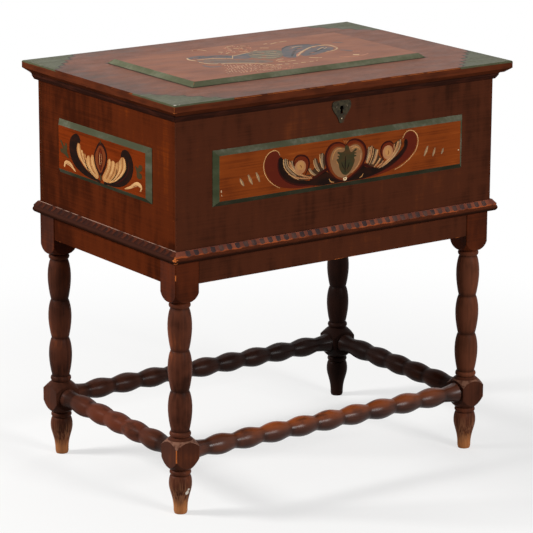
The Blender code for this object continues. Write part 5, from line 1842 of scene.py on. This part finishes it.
# %% Front heart outlines
HEART = [(4.1, 22.5), (9.1, 27.4), (17.8, 29.5), (26.5, 28), (35.4, 22.4), (41, 13.7), (41.7, 2.8),
         (38, -7.5), (30.5, -16.4), (19.7, -23.9), (9.9, -29.3), (2.9, -30.8), (-4, -30.2), (-12.7, -27),
         (-21.4, -20.8), (-28, -12.8), (-32.4, -1.6), (-33.6, 10.1), (-29.5, 20.2), (-22, 26.8),
         (-12.3, 28.3), (-2.6, 26.2)]
HEART_FIELD = [(5, 17.6), (11.4, 19.1), (19, 20.8), (26.7, 18.6), (32.3, 11.2), (33.5, 2.1), (29.3, -8.1),
               (19.6, -16.8), (7.7, -23.3), (1, -25.8), (-8.4, -23.4), (-16.1, -17.1), (-21.6, -7.4),
               (-23.9, 2.6), (-21.8, 12.1), (-16.5, 18.6), (-9, 20.3), (-1.4, 18.5)]
HEART_MIDDLE = (4.0, 0.0)
BUD = [(4.3, 21.6), (8.6, 19.2), (10.6, 13.6), (13.4, 10.4), (18.2, 12.7), (22.7, 14.4), (22.3, 11.3),
       (19.4, 10.1), (23.1, 7.6), (19.2, 6.7), (22.9, 3.7), (19, 2.5), (20, -1.9), (18.5, -7.1), (16, -12.2),
       (12.6, -16.7), (8.1, -20.6), (3.3, -22.1), (-1.3, -20.2), (-4.6, -16.2), (-7.5, -11.1), (-8.7, -4.6),
       (-12.8, 2), (-8.7, 4.1), (-10.8, 7.3), (-7.4, 7.8), (-11.3, 12.8), (-4.9, 12.2), (-0.4, 12.6),
       (1.9, 15.1), (2.1, 19)]
print("heart of", len(HEART), "points, bud of", len(BUD))

# %% Front flowers and heart
FRONT_HEART = [
    ("flower_bands", 6, "red_brown", [oval(-74.8, 3, 12.4, 12.4), oval(79.6, 4.6, 11.2, 12.4)]),
    ("flower_rims", 7, "dark_red", [
        [(-88, 4, 1.6), (-87, 11.5, 2.6), (-82, 15.6, 3.2), (-73, 15.8, 3.4), (-65, 12, 3.2), (-61.4, 5, 3),
         (-62, -3, 2.4), (-65.5, -9, 1.8), (-67.5, -12.5, 1)],
        [(73, -9, 1.2), (69, -2, 1.8), (67.5, 6, 2.2), (70.5, 13.6, 2.6), (77, 17, 3), (85, 16.6, 2.6),
         (90.5, 12.5, 1.4)]]),
    ("flower_discs", 8, "pink_tan", [oval(-76.7, -0.6, 9.6, 10), oval(80, 1.8, 9.4, 10.2)]),
    ("flower_lights", 9, "straw", [oval(-76.4, 1.2, 6.2, 6.2), oval(80.4, 2.6, 5.8, 6.4)]),
    ("flower_eyes", 10, "rust", [
        [(81, 4, 1.2), (81.5, 1, 1.8), (80.3, -1.5, 1)],
        [(-77.5, 2, 0.8), (-75, 0.4, 1.4), (-74.6, -2, 0.8)]]),
    ("heart_rim", 4, "dark_red", [HEART]),
    ("heart_band", 5, "red_brown", [shrunk(HEART, HEART_MIDDLE, 0.91)]),
    ("heart_rust", 6, "rust", [shrunk(HEART_FIELD, HEART_MIDDLE, 1.12)]),
    ("heart_field", 7, "tan", [HEART_FIELD]),
    ("heart_glow", 8, "pink_tan", [
        [(30.7, 6, 2.5), (30, -3, 3.4), (24, -12.8, 3.4), (15, -19.8, 2.2)],
        [(10, 17.6, 1.8), (19, 18.2, 2.4), (27, 15, 2)]]),
    ("heart_bud", 8, "leaf_green", [BUD]),
    ("bud_veins", 9, "black_brown", [
        [(3.2, 5, 1.4), (2.9, -6, 2.6), (2.8, -18, 1.2)], [(-3.4, -3.4, 1.2), (-1.6, -8, 2), (1.4, -13.6, 1)],
        [(9.8, -5, 1.2), (8.4, -10, 1.9), (5.9, -15, 1)]]),
    ("heart_lights", 9, "straw", [
        [(-3, 17.2, 1.2), (-11, 17.6, 2.4), (-18, 11.4, 2.4), (-20.4, 3, 1.6)],
        [(14.4, 14.6, 1.4), (19.1, 16.2, 2.2), (24.8, 16.2, 2), (29.5, 11.3, 1.2)],
        [(-12.6, 0.6, 1.4), (-11.2, -3.4, 2)]]),
    ("heart_dot", 7, "chalk", [oval(2.8, -27.4, 3.4, 3.1)]),
    ("heart_dot_eye", 8, "red_brown", [oval(2.8, -27.4, 1.1, 1)]),
    ("commas", 4, "straw", [
        [(-25.4, -24.3, 0.8), (-22.8, -28.6, 2.2), (-16.8, -30.2, 0.9)],
        [(35.4, -24.2, 0.8), (33.4, -27.6, 2), (28.8, -29.8, 0.9)], [(0, 29.3, 0.8), (2.3, 24.6, 0.6)],
        [(4, 29.5, 0.8), (4.1, 24.3, 0.6)], [(7.9, 28.6, 0.8), (5.5, 24, 0.6)]]),
    ("chips", 4, "chalk", [
        [(-212.6, -17, 1.4), (-212.3, -19.5, 1)], [(-212, -23.5, 1.2), (-211.6, -25, 1)],
        [(213, -11, 1.6), (211.4, -11.4, 1.4)]])]
paint_panel("front_panel", FRONT_HEART, side_pots)

# %% [markdown]
# ## Side panels
# Both sides carry the same ornament: two dark scrolls that hold fans of straw-coloured leaves, an
# upright pod between them, and sprigs and pale curls at the ends.

# %% Side scrolls and fans
SIDE_FANS = [
    ("scrolls", 1, "black_brown", [
        [(-57.7, 16), (-56.7, 21), (-63, 27), (-72, 26.5), (-82, 20), (-87, 9), (-86, -3), (-79, -15),
         (-66, -23.5), (-48, -29), (-28, -31.8), (-12, -32), (-2, -31.6), (-9, -28.8), (-27.4, -24.8),
         (-43.8, -19), (-56.6, -11.5), (-65, -2), (-67, 8), (-64, 14)],
        [(54, 16), (54, 20.7), (58.5, 26), (66, 28), (76, 25), (83, 17), (86, 6), (83, -6), (74, -17),
         (57.5, -26.5), (38, -31.2), (18, -32), (7, -31.4), (20, -28.8), (34.4, -24.9), (48.8, -17.2),
         (61, -6), (66, 4), (66, 12), (61, 16.5)]]),
    ("scroll_lights", 2, "dark_red", [[(74, 11, 1.6), (73, -1, 2.6), (59, -16, 2.6), (38, -26.4, 1.6)]]),
    ("fans", 2, "straw", [
        [(-62, 15), (-57.8, 13.2), (-55.2, 6.7), (-50.6, 6), (-48.8, 1.9), (-43.3, 1.9), (-40.7, -3.5),
         (-35.9, 1.3), (-32.3, 1.5), (-29.6, -1.5), (-25.8, 3.7), (-21.2, 4), (-18.6, -2.4), (-12.5, -14),
         (-7, -24), (-9, -28), (-23.7, -25), (-40, -19.3), (-53, -11.8), (-63, -3), (-66, 7)],
        [(19.7, 5.6), (24.2, 7), (26.9, 4), (31.4, 5.9), (35.8, 5.2), (39.4, 3.4), (43, 5.6), (47.5, 7.4),
         (51, 11), (56.5, 15.4), (62, 15), (66, 9), (67, 2), (61, -7), (48.8, -17), (34.4, -24.7),
         (12.7, -29), (3.7, -26), (9.3, -15), (16.8, -3.7)]]),
    ("fan_lights", 3, "cream", [
        [(-62, 13.5, 2.4), (-58, -1.8, 3.6), (-40, -16.3, 2.8), (-16.4, -25.7, 1.4)],
        [(-53, 5, 2.4), (-48, -6, 3.2), (-33, -18.5, 2.4), (-15, -25, 1.2)],
        [(-36, -0.6, 2.4), (-34.4, -10, 3.2), (-23.6, -20.2, 2.4), (-9, -26.6, 1.2)],
        [(-24.6, 2, 2.4), (-22.6, -9, 3.2), (-14.4, -19, 2.4), (-7.6, -25.6, 1.2)],
        [(51.4, 9.4, 2.4), (51, -2, 3.2), (41.5, -15.6, 2.6), (26, -26, 1.2)],
        [(62.6, 13, 2.4), (63, 2, 3.4), (54, -10.8, 2.8), (38, -22.6, 1.4)],
        [(23.3, 5, 2.4), (20.6, -7, 2.8), (9.4, -22.8, 1.4)],
        [(33.4, 4.4, 2.2), (31.2, -6.9, 2.8), (18.4, -23, 1.2)]]),
    ("fan_shades", 3, "rust", [
        [(28, 5, 2), (25.5, -7, 1.8), (14, -23, 0.9)], [(38.6, 4.2, 2.4), (36, -7, 1.8), (24, -22.5, 0.9)],
        [(45.8, 7.4, 2.2), (45.4, -5, 1.9), (35.4, -18, 1)],
        [(-29.6, -0.6, 2.2), (-28, -12, 1.8), (-17, -22.5, 0.9)],
        [(-46.2, 3.4, 2.2), (-42.4, -11, 1.8), (-28, -21.6, 0.9)],
        [(-55.6, 9, 1.8), (-52, -4, 1.8), (-38, -16.6, 1)],
        [(57.2, 15, 1.6), (57.6, 1, 1.9), (48, -12.5, 1.4), (33, -23, 0.9)]]),
    ("ribs", 4, "black_brown", [
        [(-42.6, -6.5, 1.2), (-38.2, -17, 2.2), (-27.4, -24.4, 1)],
        [(42, -4.6, 1.4), (39, -14.2, 2.4), (27.2, -24, 1)]])]
print(len(SIDE_FANS), "coats of scrolls and fans")

# %% Side pod and sprigs
POD = [(-1.5, 27.2), (-11.7, 18.5), (-18.4, 5.5), (-17.8, -6.2), (-10.7, -16.7), (-1.7, -22.9), (7.6, -13.3),
       (15.1, -0.1), (16.2, 11.9), (10.1, 22.5)]
POD_MIDDLE = (-1.3, 2.6)
POD_CORE = [(-0.9, 14.6), (-5.5, 5.7), (-4.9, -4), (-1.5, -9.6), (2.3, -2.3), (3, 7.7)]
CORE_MIDDLE = (-1.2, 2.8)
SIDE_POD = [
    ("pod_rim", 4, "black_brown", [POD]),
    ("pod_band", 5, "dark_red", [shrunk(POD, POD_MIDDLE, 0.88)]),
    ("pod", 6, "rust", [shrunk(POD, POD_MIDDLE, 0.8)]),
    ("pod_shade", 7, "red_brown", [shrunk(POD_CORE, CORE_MIDDLE, 1.36)]),
    ("pod_lines", 8, "black_brown", [
        [(-0.9, 17.5, 0.8), (-6.4, 5.7, 1.6), (-5.8, -4, 1.6), (-1.4, -14, 1.2)],
        [(-0.9, 17.5, 0.8), (4, 7.7, 1.4), (3.4, -2.3, 1.4), (-1.2, -14, 1.2)],
        [(-0.6, 11, 0.8), (-0.5, 2, 1.5), (-1, -9, 1)]]),
    ("pod_lights", 9, "cream", [
        [(-2.4, 11.4, 0.8), (-3.2, 3, 1.7), (-2.4, -6, 0.8)],
        [(1.2, 10, 0.6), (1.7, 3.6, 0.9), (0.6, -4.6, 0.6)]]),
    ("pod_green", 7, "leaf_green", [
        [(-1.5, 29, 2.4), (-0.8, 25.5, 2)], [(-1.8, -21.5, 3), (-1.5, -25.5, 5.4), (-0.6, -28.4, 3.5)]]),
    ("sprigs", 1, "leaf_green", [
        [(-112, 11), (-107, 8), (-101.5, 3), (-97, 9), (-93.5, 4), (-94, -4), (-90, -12), (-97, -10.5),
         (-104, -8), (-112.5, -5.5), (-111, -1.5), (-106, -1.5), (-108.5, 4)],
        [(92, 10), (97, 7.5), (103, 13), (109.5, 11.5), (107, 5), (102, 2.5), (107, 0), (108, -5),
         (101, -7.5), (95, -5), (94.5, 1)]]),
    ("curls", 2, "cream", [
        [(-102, -27, 3), (-100, -22, 5.4), (-91, -20, 7), (-83, -22, 6), (-77, -25.5, 4), (-71, -29, 1.2)],
        [(63, -29, 1.2), (79, -23.5, 4.2), (91, -17.5, 6.6), (101, -16, 6.6), (106.5, -19, 4.4),
         (104, -25, 1.6)]]),
    ("curl_lines", 3, "rust", [
        [(-99, -25, 0.8), (-92, -21.4, 1.2), (-82, -24, 0.8)],
        [(84, -22.6, 0.8), (97, -18.4, 1.2), (103, -21, 0.8)]])]
for node in ("left_panel", "right_panel"):
    paint_panel(node, SIDE_FANS + SIDE_POD, side_pots)

# %% [markdown]
# ## Lid panel
# The leaves on the lid are worn almost to the ground, and many short pale flecks are what is left of
# other brushwork. They are strewn by two fractions that never fall into a pattern, so that no random
# numbers are needed.

# %% Lid leaves
LID_LEAVES = [
    ("leaves", 0, "slate", [
        [(-113, 46), (-98, 55), (-83, 54), (-67, 47), (-52, 41), (-43, 30), (-26, 31), (-10, 34), (-22, 10),
         (-36, -2), (-56, 10), (-66, 21), (-79, 30), (-91, 35), (-104, 37)],
        [(22, -8), (35, 14), (52, 34.5), (68, 46), (80, 51), (93, 49), (106, 43), (123, 35), (102, 27),
         (82, 14), (61, -4), (43, -22), (28, -33), (19, -31), (16, -21)],
        [(45, -29), (64, -5), (82, 11), (101, 21), (112, 20), (120, 14), (122, 7), (119, -4), (106, -15),
         (92, -21), (75, -28), (57, -32)]]),
    ("smudges", 0, "slate", [
        [(147, 36, 4), (158, 26, 6)], [(119, -22, 5), (128, -35, 8)],
        [(-122, -11, 4), (-119, -26, 8), (-104, -31, 5)]]),
    ("fan", 1, "moss", [
        [(-10, 37), (9, 42), (24, 36.5), (39, 29), (30, 5), (14, -16), (-4, -24), (-20, -19), (-28, -3),
         (-20, 19)]]),
    ("low_leaf", 1, "taupe", [
        [(-109, 24), (-96, 28), (-83, 23), (-71, 14), (-59, 5), (-40, -8), (-29, -22), (-18, -36), (-20, -43),
         (-42, -41), (-56, -32), (-76, -22), (-96, -12), (-107, 1), (-111, 14)]]),
    ("dark_lines", 2, "ink", [
        [(-104, 46, 3), (-83, 45, 5), (-67, 38, 5), (-52, 30, 3)],
        [(48, 31, 3), (69, 47, 5), (87, 49, 5), (106, 43, 4), (124, 35, 2)],
        [(-96, 8, 2), (-74, -2, 4), (-50, -18, 4), (-30, -34, 2)], [(-18, 22, 3), (4, 26, 4), (26, 20, 3)],
        [(28, -22, 3), (44, -4, 5), (62, 16, 5), (80, 30, 3)],
        [(60, -22, 3), (82, -10, 5), (104, 2, 4), (116, 8, 2)]])]
print(len(LID_LEAVES), "coats of leaves")

# %% Lid flecks
GOLDEN = 0.618034
SILVER = 0.754878
SWING_STEP = 2.4
LENGTH_STEP = 1.7
FLECK_START = 0.6


def strewn(count, start, along, down, stroke, width):
    """Short worn strokes strewn over a slanting field, no two alike."""
    strokes = []
    for index in range(count):
        right = index * GOLDEN % 1
        depth = index * SILVER % 1 * (1.0 - right / 2)
        across, up = (start[i] + right * along[i] + depth * down[i] for i in (0, 1))
        swing = 0.5 * math.sin(index * SWING_STEP)
        length = 0.65 + 0.35 * math.cos(index * LENGTH_STEP)
        end = (across + stroke[0] * length * (1 + swing), up + stroke[1] * length * (1 - swing))
        strokes.append([(across, up, width * FLECK_START), (*end, width * length)])
    return strokes


def finer(share, strokes):
    """The same strokes with a smaller brush."""
    return [[(across, up, width * share) for across, up, width in stroke] for stroke in strokes]


LID_FLECKS = [
    ("flecks", 2, "fleck", strewn(150, (-92, -20), (64, -50), (-40, -64), (4.5, 4.5), 1.8)),
    ("rosy_flecks", 2, "rose", strewn(70, (-98, -24), (90, -50), (-38, -60), (5, 4), 2)),
    ("upper_flecks_rosy", 2, "rose", strewn(46, (-50, 50), (44, -14), (44, 56), (4.5, 3.5), 2.1)),
    ("upper_flecks_pale", 2, "cream", strewn(26, (-44, 56), (40, -12), (46, 52), (4, 4), 1.8)),
    ("rose_marks", 2, "rose", [
        [(34, -28, 4), (51, -9, 6), (68, 4, 3)], [(127, -41, 2), (136, -45, 3)],
        [(-14, -41, 2.4), (-4, -43, 4), (10, -44, 3)],
        [(84, -66, 2), (98, -72, 3), (113, -76, 3), (136, -67, 2)]]),
    ("cream_lines", 3, "cream", finer(0.8, [
        [(-110, 49, 3), (-114, 38, 5), (-111, 25, 4)],
        [(-104, 31, 2.5), (-83, 28, 3.6), (-66, 20, 3.6), (-55, 11, 2.5)],
        [(-113, 12, 3), (-106, -6, 4.4), (-90, -15, 4.4), (-66, -26, 4.4), (-45, -44, 3.6), (-36, -60, 2.5)],
        [(-42, 30, 1.8), (-49, 20, 2.2), (-56, 9.5, 1.8)], [(-42.6, 27, 2.4), (-20, 34, 3.6), (-8, 37, 2.4)],
        [(38, -25, 3), (60, -3, 4.4), (78, 11, 4.8), (98, 23, 4.8), (114, 25, 4.8), (127, 22, 4.4),
         (128, 11, 4), (125, -3, 3.8), (117, -13, 3.6), (104, -20, 3.2), (90, -23, 2)],
        [(68, 33, 2.4), (80, 38, 3.6), (89, 36, 2.4)], [(91, -1, 2.4), (103, 7, 3.4), (111, 11, 2.4)],
        [(103, 0, 2), (113, 6, 2.8)], [(44, -45, 3), (50, -53, 4.5), (58, -56, 3.5)],
        [(-11, -38, 2.6), (-3, -34, 3.2), (5, -33, 2.4)], [(-13, -46, 3), (-4, -52, 3.6), (13, -52, 2.6)],
        [(-19, -4, 1.6), (-8, -14, 2.2), (2, -20, 1.4)], [(-12, 22, 1.6), (2, 2, 2.2), (12, -12, 1.4)],
        [(4, 32, 1.6), (16, 14, 2.2), (22, 0, 1.4)], [(20, 32, 1.4), (30, 20, 1.8)]])),
    ("dotted_row", 3, "cream", finer(0.75, [
        [(-48, -50, 3), (-45, -55, 4)], [(-41, -61, 3), (-34, -65, 4)], [(-27, -65, 3), (-22, -67, 4)],
        [(-16, -68, 3), (-11, -70, 4)], [(-4, -72, 3), (2, -73, 4)], [(10, -72, 3), (16, -73, 3)],
        [(25, -73, 3), (31, -73, 3)], [(38, -71, 3), (42, -69, 3)]])),
    ("upper_flecks", 3, "cream", finer(0.7, [
        [(-43, 65, 4), (-39.5, 62, 5)], [(-41, 48.5, 3), (-33, 52.7, 4)],
        [(-12.7, 92.5, 2.4), (4.8, 97.7, 3)], [(-7, 78.6, 2.4), (-3, 72, 3)],
        [(12.5, 88.6, 2.8), (23, 81.5, 3.6)], [(51, 82, 4), (56, 82.6, 5)],
        [(28, 58.7, 3), (37.7, 52.3, 4.4)], [(59, 76.7, 2.8), (79, 83, 3.4), (94, 84, 2.4)],
        [(-15.5, 50, 2), (-6, 43.6, 2.6)], [(5, 43.7, 2), (15, 48, 2.6)],
        [(-71, 95, 1.8), (-58.7, 98, 2.4), (-53, 83, 1.6)]])),
    ("chips", 4, "chalk", [[(111, -64, 3), (117, -68, 3.6)]])]
paint_panel("lid_panel", LID_LEAVES + LID_FLECKS, lid_pots)

# %% [markdown]
# ## Floor
# The photograph is a studio picture on white. A wide pale floor keeps the soft shadow under the stand, and
# further off it is plain white for what the camera or a reflection sees. It lights the object less, so
# that the undersides stay dark.

# %% Floor
FLOOR_HALF = 40.0
FLOOR_PALE = srgb(240, 239, 237)
FLOOR_DIM = srgb(150, 149, 147)
WHITE = srgb(255, 255, 255)
SHADOW_NEAR = 0.40
SHADOW_FAR = 1.20
NEAR_WHITE = 0.62


def seen_directly(shade):
    """1 for what the camera, a mirror or a glass sees, 0 for the light that falls on things."""
    camera_ray, glossy_ray, glass_ray = (shade.node("LightPath", None, None, "Is %s Ray" % kind)
                                         for kind in ("Camera", "Glossy", "Transmission"))
    return camera_ray + glossy_ray + glass_ray


let_go()
bpy.ops.mesh.primitive_plane_add(size=2 * FLOOR_HALF, location=(0.0, 0.0, -MM / 2))
floor_finish, floor_place = new_finish("pale_floor")
floor = named("floor", floor_finish)
tree = floor_finish.node_tree
away = floor_place.away(FLAT)
seen = seen_directly(away)
lay_finish(floor_finish, seen.mix(FLOOR_DIM, FLOOR_PALE), 0.9)
share = seen * (away.ease(SHADOW_NEAR, SHADOW_FAR) * (1.0 - NEAR_WHITE) + NEAR_WHITE)
white = share.node("Emission", None, {"Color": WHITE, "Strength": 1.0})
paint = Shade(tree, tree.nodes["Principled BSDF"].outputs[0])
blend = share.node("MixShader", None, {0: share, 1: paint, 2: white})
feed(tree, tree.nodes["Material Output"].inputs["Surface"], blend)
print("floor", 2 * FLOOR_HALF, "m wide")

# %% [markdown]
# ## Light
# The big lamp stands at the back left, high up, a second one faces the front, and a small one hangs above,
# so every raised edge throws a short shadow as in the photograph. The white surroundings fill the rest.

# %% Lamps
WORLD_LIGHT = 0.18
LAMPS = (("lamp_left", (-2.8, 1.6, 2.0), 0.8, 138.0), ("lamp_front", (0.6, -3.6, 1.55), 1.0, 95.0),
         ("lamp_top", (1.2, 1.0, 2.9), 0.8, 8.0))
AIM = Vector((0.0, 0.0, 0.42))

world = bpy.data.worlds.new("studio")
world.use_nodes = True
bpy.context.scene.world = world
backdrop = world.node_tree.nodes["Background"]
backdrop.inputs["Color"].default_value = WHITE
strength = seen_directly(Shade(world.node_tree)) * (1.0 - WORLD_LIGHT) + WORLD_LIGHT
feed(world.node_tree, backdrop.inputs["Strength"], strength)

for name, place, size, power in LAMPS:
    aim = (AIM - Vector(place)).to_track_quat("-Z", "Y").to_euler()
    bpy.ops.object.light_add(type="AREA", location=place, rotation=aim)
    lamp = bpy.context.object
    lamp.name = name
    lamp.data.size = size
    lamp.data.energy = power
print("world and", len(LAMPS), "lamps")
